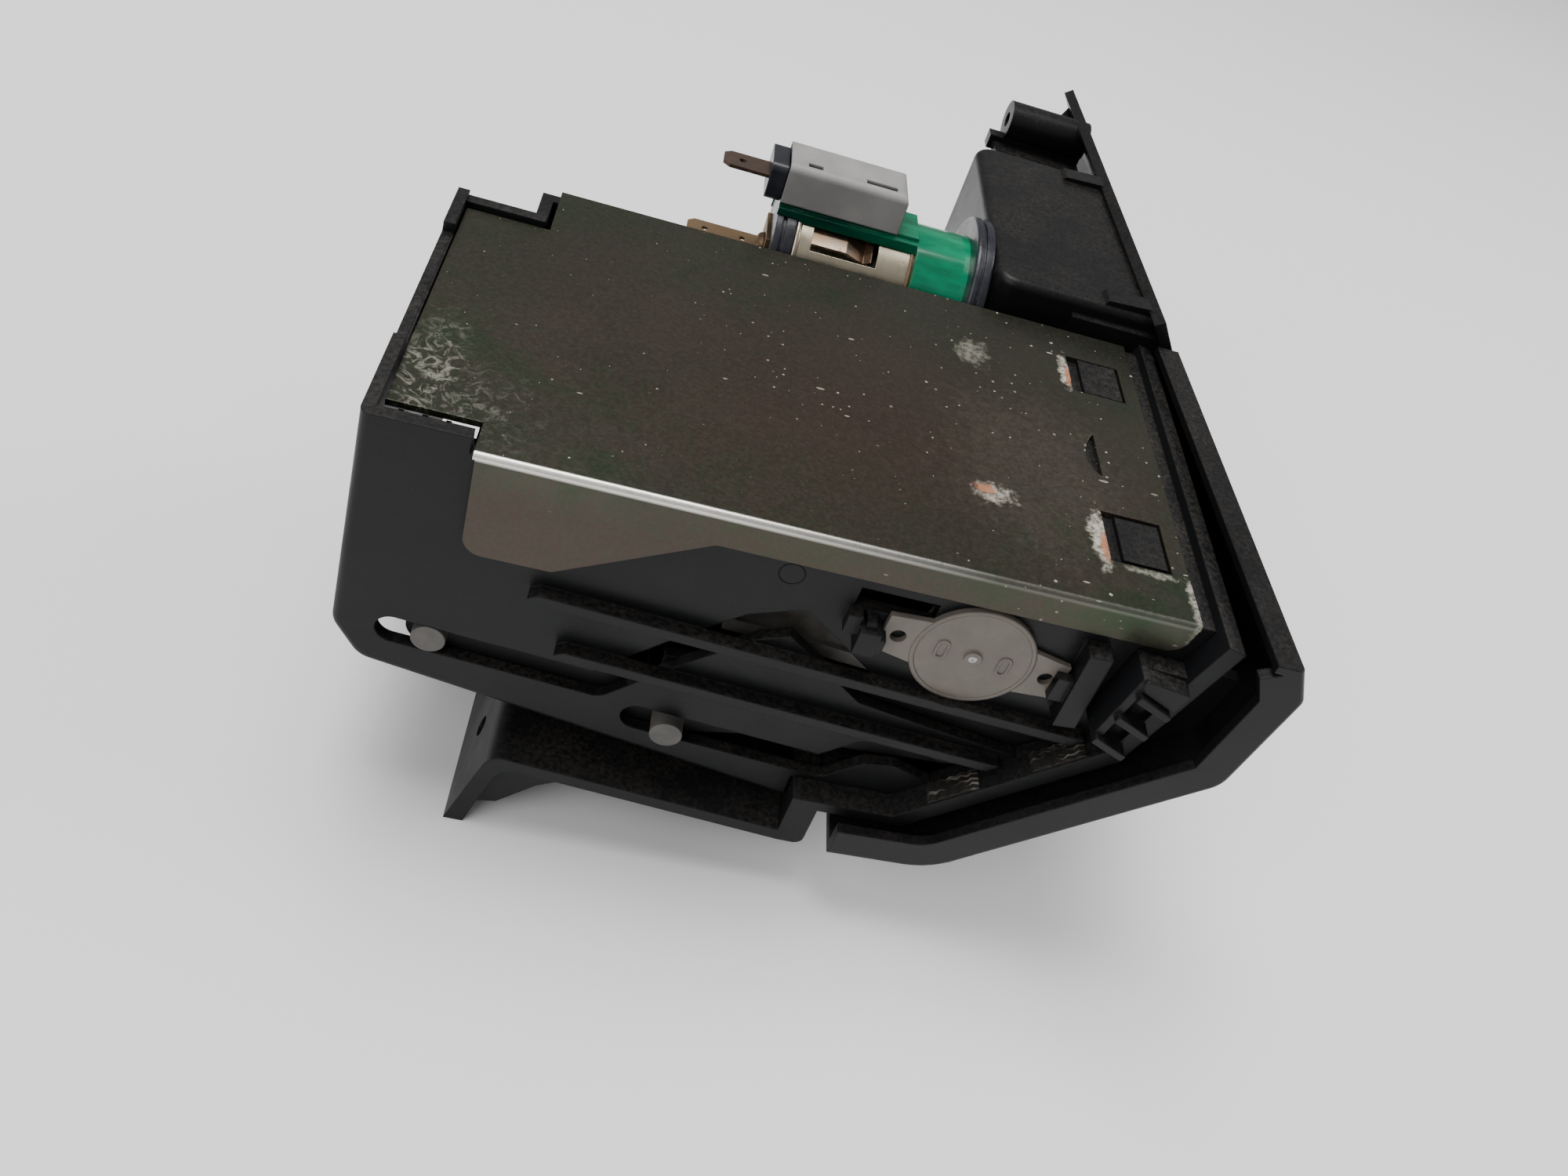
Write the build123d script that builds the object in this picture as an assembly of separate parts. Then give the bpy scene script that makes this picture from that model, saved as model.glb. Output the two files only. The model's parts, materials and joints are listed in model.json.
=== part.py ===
from build123d import *
import os
import math

# Car console insert: a damped ashtray drawer in a black housing, with a coin pocket and a
# 12 V lighter socket beside it. All sizes are in millimetres.
#
# Working frame: X runs towards the fascia, Y from the drawer's damper side to the lighter side,
# Z up out of the steel cover. Y = 0 is the outer face of the damper-side wall and Z = 0 is the
# cover's outer face. Every piece is moved to the final origin, the middle of the base, on export.

os.makedirs("parts", exist_ok=True)

# ---- driving sizes: housing and cover ----
HOUSING_WIDTH = 86.0        # outer width over the two side walls
HOUSING_REAR = -18.0        # x of the rear wall's outer face
HOUSING_EDGE_R = 1.6
WALL = 2.5                  # side and rear wall
FLOOR = 2.0                 # partial floor
COVER_T = 1.2               # steel cover thickness
COVER_REAR = -15.5
COVER_FRONT = 125.0
COVER_NOTCH_NEAR = 7.0      # width of the notch beside the damper-side wall
COVER_NOTCH_FAR = 15.0      # width of the notch on the lighter side
REAR_WALL_RISE = 2.0        # how far the rear corner walls stand above the cover
RIB_PROUD = 2.9             # the two outer guide ribs
RIB_T = 2.2
RIB_END_GAP = 2.6           # rib ends stop short of the frame and its pads
RIBS = (((14.5, -25.8), (125.0, -32.3)), ((21.0, -38.3), (125.0, -45.0)))
FLANGE_DROP = 21.3          # cover's side flange, rear part
FLANGE_LOW = 7.0            # cover's side flange, front part

# ---- front frame ----
FRAME_PROUD = 5.4           # how far the frame stands out past the damper-side wall
FRAME_FAR = 2.0             # the same on the lighter side
FRAME_TOP = 0.5
SEAT_TOP_X = 128.8          # back face of the frame, top
SEAT_KNEE = (121.0, -31.0)  # back face where it turns to the slope
SEAT_FOOT = (90.0, -61.5)   # back face where it turns level
FRAME_REAR_X = 70.0
FRAME_T = 3.6
FRAME_FOOT_T = 2.5          # thickness of the level part behind the slope
LEDGE_T = 3.0
LEG_T = 5.6                 # the upright step at the front of the ledge
LIP_DROP = 22.0
LIP_HOLE_DROP = 11.0        # ledge top to the fixing hole in the lip
LIP_HOLE_Y = 10.0
LIP_HOLE_R = 2.2
LIP_LEAN = 16.0             # the lip leans back, in degrees from upright

# ---- cam slots and drawer ----
PIN_R = 3.1
SLOT_CLEAR = 0.06           # radial running clearance of a guide pin in its slot
PIN_A = (-2.9, -45.2)       # rear guide pin, closed
PIN_B = (42.9, -54.9)       # front guide pin, closed
SLIDE_SLOPE = -0.08         # rise over run of the straight part of the slots
OVER_TRAVEL = 6.3           # slot length behind each closed pin
STRAIGHT_RUN = 31.0         # slot length in front of each closed pin
ARM_GAP = 0.5               # side arm to housing wall
ARM_T = 2.5
FRONT_T = 2.2               # drawer front wall
CHEEK = 7.5                 # depth of the side return on the damper side
FAR_CHEEK = 2.8             # depth of the side return beside the fascia
FRONT_NEAR_Y = -10.0        # outer side face of the drawer front
PLAN_SKEW = -0.0425         # the fascia turns slightly in plan, in x per y
FRONT_TOP = 3.0
FRONT_EDGE_R = 1.0

# ---- damper ----
DAMPER_C = (90.3, -19.0)
DAMPER_R = 11.2
DAMPER_TILT = -4.6          # the ears lie parallel to the slide, in degrees
DAMPER_PLATE_T = 1.2
EAR_HOLE_R = 1.45
EAR_REACH = 14.35           # damper centre to each ear hole
CASE_R = 8.8
CASE_DEPTH = 6.0
GEAR_MODULE = 0.8
GEAR_TEETH = 16
GEAR_FACE = 2.4
TOOTH_THIN = 0.14           # taken off each tooth's pitch thickness, for backlash

# ---- fascia and pocket ----
FASCIA_GAP = 1.0            # seam between the drawer front and the fascia
FASCIA_REACH = 118.0        # how far the fascia runs on past the housing
FASCIA_FAR_Y = HOUSING_WIDTH + FASCIA_REACH
FASCIA_T = 2.5
FASCIA_TOP = 8.5
SIDE_WALL_TOP = 2.6         # wall between the front frame and the pocket
FASCIA_FAR_LOW = -24.0      # lower edge at the far end
FASCIA_CUT_Y = FASCIA_FAR_Y - 64.0        # where the lower edge starts to rise
POCKET_REAR_X = 93.5
POCKET_CORNER_R = 5.0      # upright rear corners
POCKET_EDGE_R = 2.0
POCKET_NEAR_Y = HOUSING_WIDTH + 3.8
POCKET_FAR_Y = FASCIA_FAR_Y - 49.0
POCKET_TOP = 6.2
POCKET_BOTTOM = -40.0
POCKET_T = 2.2
SCREW_BOSS = (FASCIA_FAR_Y - 19.0, 2.5)
SCREW_BOSS_R = 5.0
SCREW_BOSS_X = 106.5        # open end of the screw boss
SCREW_BOSS_BORE_R = 1.9
SCREW_BOSS_DEPTH = 15.0

# ---- lighter socket ----
SOCKET_Z = -10.0
BORE_R = 10.5
SOCKET_Y = HOUSING_WIDTH + BORE_R + 9.5     # leaves room for the collar beside the housing
SHELL_T = 0.8
RING_GAP = 0.2              # shell to light ring
RING_T = 2.0
COLLAR_W = 4.2
SHELL_REAR_X = 50.0
SOCKET_FRONT_X = 98.6
BLADE_W = 6.3
BLADE_T = 0.8
SLEEVE_GAP = 0.4            # plug sleeve in the socket bore
KNOB_TRAVEL = 4.0
KNOB_RECESS = 5.0           # depth of the spring's recess in the knob
KNOB_RECESS_R = 6.0

# ---- values that follow from the driving sizes ----
FAR_WALL = HOUSING_WIDTH
SLIDE_LEN = math.hypot(1.0, SLIDE_SLOPE)
SLIDE = (1.0 / SLIDE_LEN, 0.0, SLIDE_SLOPE / SLIDE_LEN)
ARM_NEAR = WALL + ARM_GAP
ARM_FAR = FAR_WALL - WALL - ARM_GAP
FRONT_FAR_Y = FAR_WALL - 1.5
FASCIA_NEAR_Y = FRONT_FAR_Y + FASCIA_GAP
FRAME_NEAR_Y = -FRAME_PROUD
FRAME_FAR_Y = FAR_WALL + FRAME_FAR
SHELL_R = BORE_R + SHELL_T
RING_IN_R = SHELL_R + RING_GAP
RING_R = RING_IN_R + RING_T
INSULATOR_R = SHELL_R + 0.6     # rear disc of the socket
COLLAR_R = RING_R + 4.7         # black collar round the light ring, against the pocket
FLANGE_FACE_X = SOCKET_FRONT_X + 2.4
NECK_X = SOCKET_FRONT_X - 1.0
KNOB_REAR_X = FLANGE_FACE_X + KNOB_TRAVEL + 0.3
GEAR_PITCH_R = GEAR_MODULE * GEAR_TEETH / 2
GEAR_Y0 = CASE_DEPTH + 0.8
FLOOR_SLOPE = -0.1755       # lower edge of the side walls, z per x
FLOOR_START = (-15.0, -54.0)


# ---- small helpers ----
def box(x0, x1, y0, y1, z0, z1):
    size = Box(x1 - x0, y1 - y0, z1 - z0)
    return Pos((x0 + x1) / 2, (y0 + y1) / 2, (z0 + z1) / 2) * size


def side_face(points, y, radius=0.0, corners=None):
    """A face in an XZ plane at y, with the chosen corners rounded."""
    outline = Polyline([(px, y, pz) for px, pz in points], close=True)
    face = make_face(outline)
    if radius:
        picked = []
        for corner in corners or points:
            target = Vector(corner[0], y, corner[1])
            picked.append(min(face.vertices(), key=lambda v: (Vector(v) - target).length))
        face = face.face().fillet_2d(radius, picked)
    return face


def prism(points, y0, y1, radius=0.0, corners=None, skew=0.0, rounds=()):
    """An XZ outline carried along Y, leaning in X by skew per unit of Y."""
    face = side_face(points, y0, radius, corners)
    for corner, corner_radius in rounds:
        target = Vector(corner[0], y0, corner[1])
        vertex = min(face.vertices(), key=lambda v: (Vector(v) - target).length)
        face = face.face().fillet_2d(corner_radius, [vertex])
    run = y1 - y0
    return extrude(face, amount=run * math.hypot(1.0, skew), dir=(skew, 1.0, 0.0))


def rod_y(x, z, radius, y0, y1):
    return Pos(x, (y0 + y1) / 2, z) * Rot(90, 0, 0) * Cylinder(radius, abs(y1 - y0))


def rod_x(y, z, radius, x0, x1):
    return Pos((x0 + x1) / 2, y, z) * Rot(0, 90, 0) * Cylinder(radius, abs(x1 - x0))


def rod_z(x, y, radius, z0, z1):
    return Pos(x, y, (z0 + z1) / 2) * Cylinder(radius, abs(z1 - z0))


def tube_x(y, z, outer, inner, x0, x1):
    return rod_x(y, z, outer, x0, x1) - rod_x(y, z, inner, x0 - 1, x1 + 1)


def stadium(p, q, radius, y0, y1):
    """A bar with round ends between two XZ points, through y0 to y1."""
    dx, dz = q[0] - p[0], q[1] - p[1]
    length = math.hypot(dx, dz)
    ux, uz = -dz / length * radius, dx / length * radius
    bar = [(p[0] + ux, p[1] + uz), (q[0] + ux, q[1] + uz),
           (q[0] - ux, q[1] - uz), (p[0] - ux, p[1] - uz)]
    return prism(bar, y0, y1) + rod_y(*p, radius, y0, y1) + rod_y(*q, radius, y0, y1)


def channel(points, radius, y0, y1):
    """A slot of constant width along a run of XZ points."""
    cut = stadium(points[0], points[1], radius, y0, y1)
    for a, b in zip(points[1:], points[2:]):
        cut = cut + stadium(a, b, radius, y0, y1)
    return cut


def along(point, run):
    """A point moved along the drawer's slide direction."""
    return (point[0] + SLIDE[0] * run, point[1] + SLIDE[2] * run)


def step(point, dx, dz):
    return (point[0] + dx, point[1] + dz)


def floor_z(x):
    return FLOOR_START[1] + FLOOR_SLOPE * (x - FLOOR_START[0])


# ---- side outlines shared by several pieces ----
SEAT_HEAD = (SEAT_TOP_X, FRAME_TOP)
SEAT_LEAN = (SEAT_TOP_X - SEAT_KNEE[0]) / (FRAME_TOP - SEAT_KNEE[1])
SEAT_TOP = (SEAT_KNEE[0] + SEAT_LEAN * (-COVER_T - SEAT_KNEE[1]), -COVER_T)
SEAT_END = (FRAME_REAR_X, SEAT_FOOT[1] - 0.5)
REAR_INNER = ((HOUSING_REAR + WALL, 10.0), (HOUSING_REAR + WALL - 2.0, -45.5))
OUTER_TOP = (140.3, FRONT_TOP)
OUTER_BROW = (144.3, FRONT_TOP - 7.0)
OUTER_NOSE = (142.2, -28.5)
OUTER_HEEL = (100.4, -70.0)
OUTER_END = (79.0, -71.2)


def inset(points, depth):
    """The open run of points moved sideways, to the right of its direction."""
    moved = []
    for i, p in enumerate(points):
        before = points[i - 1] if i else None
        after = points[i + 1] if i + 1 < len(points) else None
        normals = []
        for a, b in ((before, p), (p, after)):
            if a and b:
                length = math.hypot(b[0] - a[0], b[1] - a[1])
                normals.append(((b[1] - a[1]) / length, -(b[0] - a[0]) / length))
        nx = sum(n[0] for n in normals)
        nz = sum(n[1] for n in normals)
        scale = depth * len(normals) / (nx * nx + nz * nz) if len(normals) > 1 else depth
        if len(normals) > 1:
            scale = 2 * depth / (nx * nx + nz * nz)
        moved.append((p[0] + nx * scale, p[1] + nz * scale))
    return moved


def band(points, depth):
    """A closed outline: the run of points and the same run moved sideways."""
    return points + inset(points, depth)[::-1]


def slot_paths():
    """Centre lines of the rear and the front cam slot, from back to front."""
    rear = [along(PIN_A, -OVER_TRAVEL), along(PIN_A, STRAIGHT_RUN),
            step(PIN_A, 44.0, 11.0), step(PIN_A, 54.5, 20.6), step(PIN_A, 62.0, 24.0),
            step(PIN_A, 72.5, 15.9), step(PIN_A, 79.5, 10.5), step(PIN_A, 94.0, 8.0),
            step(PIN_A, 116.0, 4.8)]
    front = [along(PIN_B, -OVER_TRAVEL + 0.4), along(PIN_B, STRAIGHT_RUN),
             step(PIN_B, 37.7, 3.9), step(PIN_B, 45.2, 5.1), step(PIN_B, 52.5, 2.5),
             step(PIN_B, 60.2, 3.4)]
    return rear, front


def housing():
    rear, low = HOUSING_REAR, floor_z(FRAME_REAR_X - 0.5)
    seat_x = SEAT_TOP[0]
    outline = [(rear, REAR_WALL_RISE), (rear - 2.0, -46.0), FLOOR_START,
               (FRAME_REAR_X - 0.5, low), (FRAME_REAR_X - 0.5, SEAT_END[1]), SEAT_END,
               SEAT_FOOT, SEAT_KNEE, (seat_x, -COVER_T), (-0.6, -COVER_T),
               (-0.6, REAR_WALL_RISE)]
    body = prism(outline, 0, FAR_WALL, 5.0, [(rear - 2.0, -46.0), FLOOR_START])
    body = fillet([e for e in body.edges() if e.center().X < rear and e.center().Z > -40.0
                   and abs(e.center().Y - FAR_WALL / 2) > 1.0], HOUSING_EDGE_R)
    inner = [*REAR_INNER, (-12.0, floor_z(-12.0) - 8.0),
             (8.0, floor_z(8.0) - 8.0), (8.0, floor_z(8.0) + FLOOR),
             (FRAME_REAR_X + 3.0, floor_z(FRAME_REAR_X + 3.0) + FLOOR),
             (SEAT_FOOT[0] + 20.0, -80.0), (seat_x + 20.0, -80.0), (seat_x + 20.0, 10.0)]
    body -= prism(inner, WALL, FAR_WALL - WALL)
    # the rear part is narrower on the lighter side, under the cover's larger notch
    body -= box(rear - 5, -0.6, FAR_WALL - COVER_NOTCH_FAR + 2.5, FAR_WALL + 1, -30.0, 10.0)
    body += box(rear + 0.5, -0.6, FAR_WALL - COVER_NOTCH_FAR, FAR_WALL - COVER_NOTCH_FAR + WALL,
                -32.0, 1.0)
    body += box(-3.1, -0.6, FAR_WALL - COVER_NOTCH_FAR, FAR_WALL, -32.0, -COVER_T)
    body += box(rear, -3.1, FAR_WALL - COVER_NOTCH_FAR, FAR_WALL - WALL, -32.0, -30.0)
    # the rear wall steps out beside the damper-side corner and is lower behind the cover
    body -= box(rear - 4, COVER_REAR - 0.3, 22.0, FAR_WALL - 26.0, -0.2, 10.0)
    # the lead-in for the drawer's upper edge, and the seat of the two cover hooks
    beam = box(104.0, seat_x, WALL, FAR_WALL - WALL, -COVER_T - 2.5, -COVER_T)
    body += beam & prism(outline, WALL, FAR_WALL - WALL)
    for y0 in (12.0, FAR_WALL - 22.4):
        body += box(112.5, 121.0, y0, y0 + 11.8, -COVER_T - 0.5, -0.15)
    # ribbed ledge under the cover's damper-side notch
    body += box(rear + WALL - 0.5, -0.6, WALL - 0.2, COVER_NOTCH_NEAR + 1.0, -6.0, -4.4)
    for x0 in (-13.4, -9.6, -5.8):
        body += box(x0, x0 + 0.9, WALL - 0.2, COVER_NOTCH_NEAR + 0.6, -4.6, -COVER_T - 0.6)
    # cam slots, the same in both side walls
    for path in slot_paths():
        for y0, y1 in ((-1.0, WALL + 0.5), (FAR_WALL - WALL - 0.5, FAR_WALL + 1.0)):
            body -= channel(path, PIN_R + SLOT_CLEAR, y0, y1)
    # two outer guide ribs on the damper side
    side_plate = Pos(-RIB_END_GAP, 0, 0) * prism(outline, -RIB_PROUD, 0.0)
    for start, end in RIBS:
        rib = [start, end, step(end, 0, -RIB_T), step(start, 0.6, -RIB_T), step(start, -1.8, -RIB_T / 2)]
        body += prism(rib, -RIB_PROUD, 0.0) & side_plate
    body -= rod_y(*DAMPER_C, DAMPER_R + 0.3, -RIB_PROUD - 1.0, 0.0)
    # window and hooks round the damper
    body -= box(66.8, 81.0, -1.0, WALL + 0.2, -14.2, -9.8)
    body -= rod_y(*DAMPER_C, CASE_R + 0.2, -1.0, WALL + 0.2)
    body += damper_hooks()
    return body


def damper_hooks():
    ex = EAR_REACH + 3.2
    tilt = math.radians(DAMPER_TILT)
    cx, cz = DAMPER_C
    left = (cx - ex * math.cos(tilt), cz - ex * math.sin(tilt))
    hooks = box(left[0] - 4.2, left[0] - 0.3, -4.0, 0.0, left[1] - 4.0, left[1] + 1.4)
    hooks += box(left[0] - 0.4, left[0] + 0.7, -4.0, -DAMPER_PLATE_T - 0.1, left[1] - 3.0, left[1] + 0.4)
    hooks += box(left[0] - 6.8, left[0] - 4.2, -2.4, 0.0, left[1] - 1.0, left[1] + 3.2)
    hooks += box(left[0] - 3.4, left[0] - 1.6, -3.0, 0.0, left[1] + 1.2, left[1] + 3.0)
    right = (cx + ex * math.cos(tilt), cz + ex * math.sin(tilt))
    post = [step(right, 0.3, 10.6), step(right, 4.6, 10.8), step(right, 5.6, -7.4), step(right, 1.3, -7.8)]
    hooks += prism(post, -4.2, 0.0)
    catch = [step(right, -2.0, 3.0), step(right, 1.2, 3.0), step(right, 1.2, -2.6), step(right, -2.0, -2.6)]
    hooks += prism(catch, -3.2, -DAMPER_PLATE_T - 0.1)
    return hooks


def steel_cover():
    sheet = box(COVER_REAR, COVER_FRONT, COVER_NOTCH_NEAR, FAR_WALL, -COVER_T, 0.0)
    sheet += box(0.0, COVER_FRONT, -COVER_T, COVER_NOTCH_NEAR, -COVER_T, 0.0)
    sheet -= box(COVER_REAR - 1, 0.6, FAR_WALL - COVER_NOTCH_FAR - 0.8, FAR_WALL + 1, -5, 5)
    flange = [(0.4, 0.0), (0.4, -FLANGE_DROP), (15.6, -FLANGE_DROP), (40.7, -FLANGE_LOW),
              (COVER_FRONT - 1.0, -FLANGE_LOW), (COVER_FRONT, 0.0)]
    corners = [(0.4, -FLANGE_DROP), (COVER_FRONT - 1.0, -FLANGE_LOW)]
    sheet += prism(flange, -COVER_T, 0.0, 3.5, corners)
    edges = sheet.edges().filter_by(Axis.X)
    bend = [e for e in edges if abs(e.center().Y + COVER_T) < 0.01 and abs(e.center().Z) < 0.01]
    sheet = fillet(bend, COVER_T * 0.8)
    sheet -= box(109.8, 121.6, 11.0, 24.6, -5, 5)
    sheet -= box(109.8, 121.6, FAR_WALL - 22.9, FAR_WALL - 10.4, -5, 5)
    # half-moon slot with its rear edge dished in
    dish_x, dish_y, arc_r, dish_r = 112.0, FAR_WALL / 2 - 0.9, 11.6, 28.0
    sheet -= rod_z(dish_x + 9.5, dish_y, arc_r, -5, 5) & box(100, dish_x, 0, FAR_WALL, -5, 5)
    dish = Pos(dish_x, dish_y, dish_r - 0.8) * Sphere(dish_r)
    sheet -= dish & box(100, dish_x, 0, FAR_WALL, -COVER_T, 1.0)
    return sheet


def front_frame():
    slope = [SEAT_HEAD, SEAT_KNEE, SEAT_FOOT, SEAT_END]
    front = inset(slope, -FRAME_T)
    low = SEAT_FOOT[1] - FRAME_FOOT_T
    fall = (front[1][0] - front[2][0]) / (front[1][1] - front[2][1])
    toe = (front[2][0] + fall * (low - front[2][1]), low)
    outline = slope + [(FRAME_REAR_X, low - 0.5), toe, front[1], front[0]]
    frame = prism(outline, FRAME_NEAR_Y, FRAME_FAR_Y)
    window = [(60.0, low + 1.4), (150.0, low + 1.4), (150.0, -6.0), (60.0, -6.0)]
    frame -= prism(window, WALL, FAR_WALL - WALL)
    # leg and ledge behind the drawer front's rear edge
    leg_top, leg_low = SEAT_END[1], -72.7
    leg_x1 = FRAME_REAR_X + LEG_T
    leg_toe = (leg_x1, leg_low - LEDGE_T)
    leg = [(FRAME_REAR_X, leg_top), (leg_x1, leg_top), leg_toe, (FRAME_REAR_X, leg_low - LEDGE_T)]
    frame += prism(leg, FRAME_NEAR_Y, FAR_WALL, 2.0, [leg_toe])
    rear_top = (12.0, -67.6)
    ledge = [(FRAME_REAR_X + 0.5, leg_low), rear_top, step(rear_top, -6.4, -LIP_DROP),
             step(rear_top, -2.6, -LIP_DROP), step(rear_top, 2.4, -LEDGE_T),
             (FRAME_REAR_X + 0.5, leg_low - LEDGE_T)]
    inner_bend = step(rear_top, 2.4, -LEDGE_T)
    shelf = prism(ledge, FRAME_NEAR_Y, FAR_WALL, rounds=((rear_top, 4.0), (inner_bend, 4.5)))
    mid = LIP_HOLE_DROP / LIP_DROP
    hole = Pos(rear_top[0] - 4.5 * mid, LIP_HOLE_Y, rear_top[1] - LIP_HOLE_DROP)
    shelf -= hole * Rot(0, 90.0 + LIP_LEAN, 0) * Cylinder(LIP_HOLE_R, 14.0)
    frame += shelf
    gusset = [step(rear_top, 1.6, -LEDGE_T + 0.4), step(rear_top, 18.0, -LEDGE_T - 1.0),
              step(rear_top, 10.0, -9.0), step(rear_top, 3.0, -16.5), step(rear_top, -2.6, -18.0)]
    for y0 in (FRAME_NEAR_Y + 2.2, FAR_WALL / 2, FAR_WALL - 12.0):
        frame += prism(gusset, y0, y0 + 2.0)
    # ribbed corner block on the damper side
    high, low_end = (117.3, -9.0), (115.2, -24.5)
    back = [high, (127.2, -9.6), (123.0, -26.0), (121.6, -28.4), low_end]
    frame += prism(back, -4.2, -0.2)
    frame += prism([high, step(high, 1.7, 0), step(low_end, 1.7, -0.3), low_end], -7.4, -0.2, 0.5)
    frame += prism([high, (127.0, -10.4), (125.6, -15.0), step(high, 1.2, -2.8)], -7.8, -0.2, 0.7)
    for start in ((118.4, -12.4), (117.0, -18.2), (115.5, -24.4)):
        rib = [start, step(start, 7.2, -3.3), step(start, 6.8, -4.7), step(start, -0.5, -1.4)]
        frame += prism(rib, -8.6, -0.2, 0.35)
    return frame


def crush_pads():
    """Two ridged pads on the frame's sloping back face, in the margin beside the housing wall."""
    dx, dz = SEAT_FOOT[0] - SEAT_KNEE[0], SEAT_FOOT[1] - SEAT_KNEE[1]
    run = math.hypot(dx, dz)
    ux, uz = dx / run, dz / run
    nx, nz = uz, -ux
    if nx > 0:
        nx, nz = -nx, -nz
    pads = []
    ridges = 5
    for start in (3.6, 25.0):
        points = []
        for k in range(ridges):
            a = start + 2.2 * k
            for along_pad, height in ((a, 0.35), (a + 1.1, 0.9)):
                points.append((SEAT_KNEE[0] + ux * along_pad + nx * height,
                               SEAT_KNEE[1] + uz * along_pad + nz * height))
        last = start + 2.2 * ridges
        foot = [(SEAT_KNEE[0] + ux * a, SEAT_KNEE[1] + uz * a) for a in (last, start)]
        pads.append(prism(points + foot, FRAME_NEAR_Y + 0.4, -0.4))
    return Compound(pads)


def front_band(run, depth):
    """Closed outline of the front's wall or cheek, with the rounding of each bend."""
    outline = band(run, depth)
    inner = inset(run, depth)
    rounds = [(run[1], 2.5), (run[2], 6.0), (run[3], 14.0)]
    rounds += [(inner[k], max(radius - depth, 0.6)) for k, radius in ((1, 2.5), (2, 6.0), (3, 14.0))
               if k < len(inner) - 1]
    return outline, [pair for pair in rounds if pair[0] in run[:-1] or pair[0] in inner]


def drawer_front():
    run = [OUTER_TOP, OUTER_BROW, OUTER_NOSE, OUTER_HEEL, OUTER_END]
    wall, wall_rounds = front_band(run, FRONT_T)
    skin = prism(wall, FRONT_NEAR_Y, FRONT_FAR_Y, skew=PLAN_SKEW, rounds=wall_rounds)
    cheek, cheek_rounds = front_band(run, CHEEK)
    near = prism(cheek, FRONT_NEAR_Y, FRONT_NEAR_Y + FRONT_T, skew=PLAN_SKEW, rounds=cheek_rounds)
    far_side, far_rounds = front_band(run[:4], FAR_CHEEK)
    far = prism(far_side, ARM_FAR, FRONT_FAR_Y, skew=PLAN_SKEW, rounds=far_rounds)
    shift = PLAN_SKEW * (ARM_FAR - FRONT_NEAR_Y)
    back = OUTER_TOP[0] - 5.0
    lip = [(back, FRONT_TOP), OUTER_TOP, step(OUTER_TOP, 0.4, -2.0), (back, FRONT_TOP - 1.6)]
    front = skin + near + Pos(shift, 0, 0) * far + prism(lip, FRONT_NEAR_Y, FRONT_FAR_Y, skew=PLAN_SKEW)
    # the rear end is straight across, clear of the frame's step
    front -= box(0, OUTER_END[0] + 0.6, FRONT_NEAR_Y - 5, FAR_WALL + 5, -90, -60)
    outer = [e for e in front.edges() if abs(e.center().Y - FRONT_NEAR_Y) < 0.01
             and outside_of(run, e.center(), 0.25)]
    return fillet(outer, FRONT_EDGE_R)


def outside_of(run, point, reach):
    """Whether a point lies on the outer run itself, or on the rounding of one of its bends."""
    nearest = 1e9
    for a, b in zip(run, run[1:]):
        dx, dz = b[0] - a[0], b[1] - a[1]
        share = ((point.X - a[0]) * dx + (point.Z - a[1]) * dz) / (dx * dx + dz * dz)
        share = min(max(share, 0.0), 1.0)
        nearest = min(nearest, math.hypot(point.X - a[0] - dx * share, point.Z - a[1] - dz * share))
    return nearest < reach + 0.6


def behind_front():
    """The space behind the drawer front's inner face, up to it."""
    inner = inset([OUTER_TOP, OUTER_BROW, OUTER_NOSE, OUTER_HEEL], FRONT_T)
    outline = [(-60.0, inner[0][1])] + inner + [(-60.0, inner[-1][1])]
    return prism(outline, FRONT_NEAR_Y, FRONT_FAR_Y, skew=PLAN_SKEW)


def drawer_arm():
    y0, y1 = ARM_NEAR, ARM_NEAR + ARM_T
    arm = stadium(PIN_A, PIN_B, 4.6, y0, y1)
    plate = [step(PIN_B, -4.0, 15.5), step(PIN_B, 63.0, 19.5), step(PIN_B, 65.0, 42.0),
             step(PIN_B, 105.0, 41.0), step(PIN_B, 105.0, 24.0), step(PIN_B, 76.0, 13.0),
             step(PIN_B, 58.0, 2.5), step(PIN_B, 18.0, -0.5), step(PIN_B, 3.0, -4.4),
             step(PIN_B, -4.0, -3.0)]
    return arm + prism(plate, y0, y1)


def mirrored(piece):
    """The same piece on the lighter-side wall."""
    flipped = mirror(piece, Plane.XZ)
    return Pos(0, HOUSING_WIDTH, 0) * flipped


BIN = {"x0": 38.0, "x1": 104.0, "y0": 12.5, "y1": HOUSING_WIDTH - 13.0, "z0": -50.0, "z1": -9.0}
ARM_INNER = ARM_NEAR + ARM_T
SPRING_Y = HOUSING_WIDTH - 8.7
SPRING_Z = -22.0
SPRING_R = 2.0
SPRING_PEG_X = 45.0
SPRING_POST_X = 98.0


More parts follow.
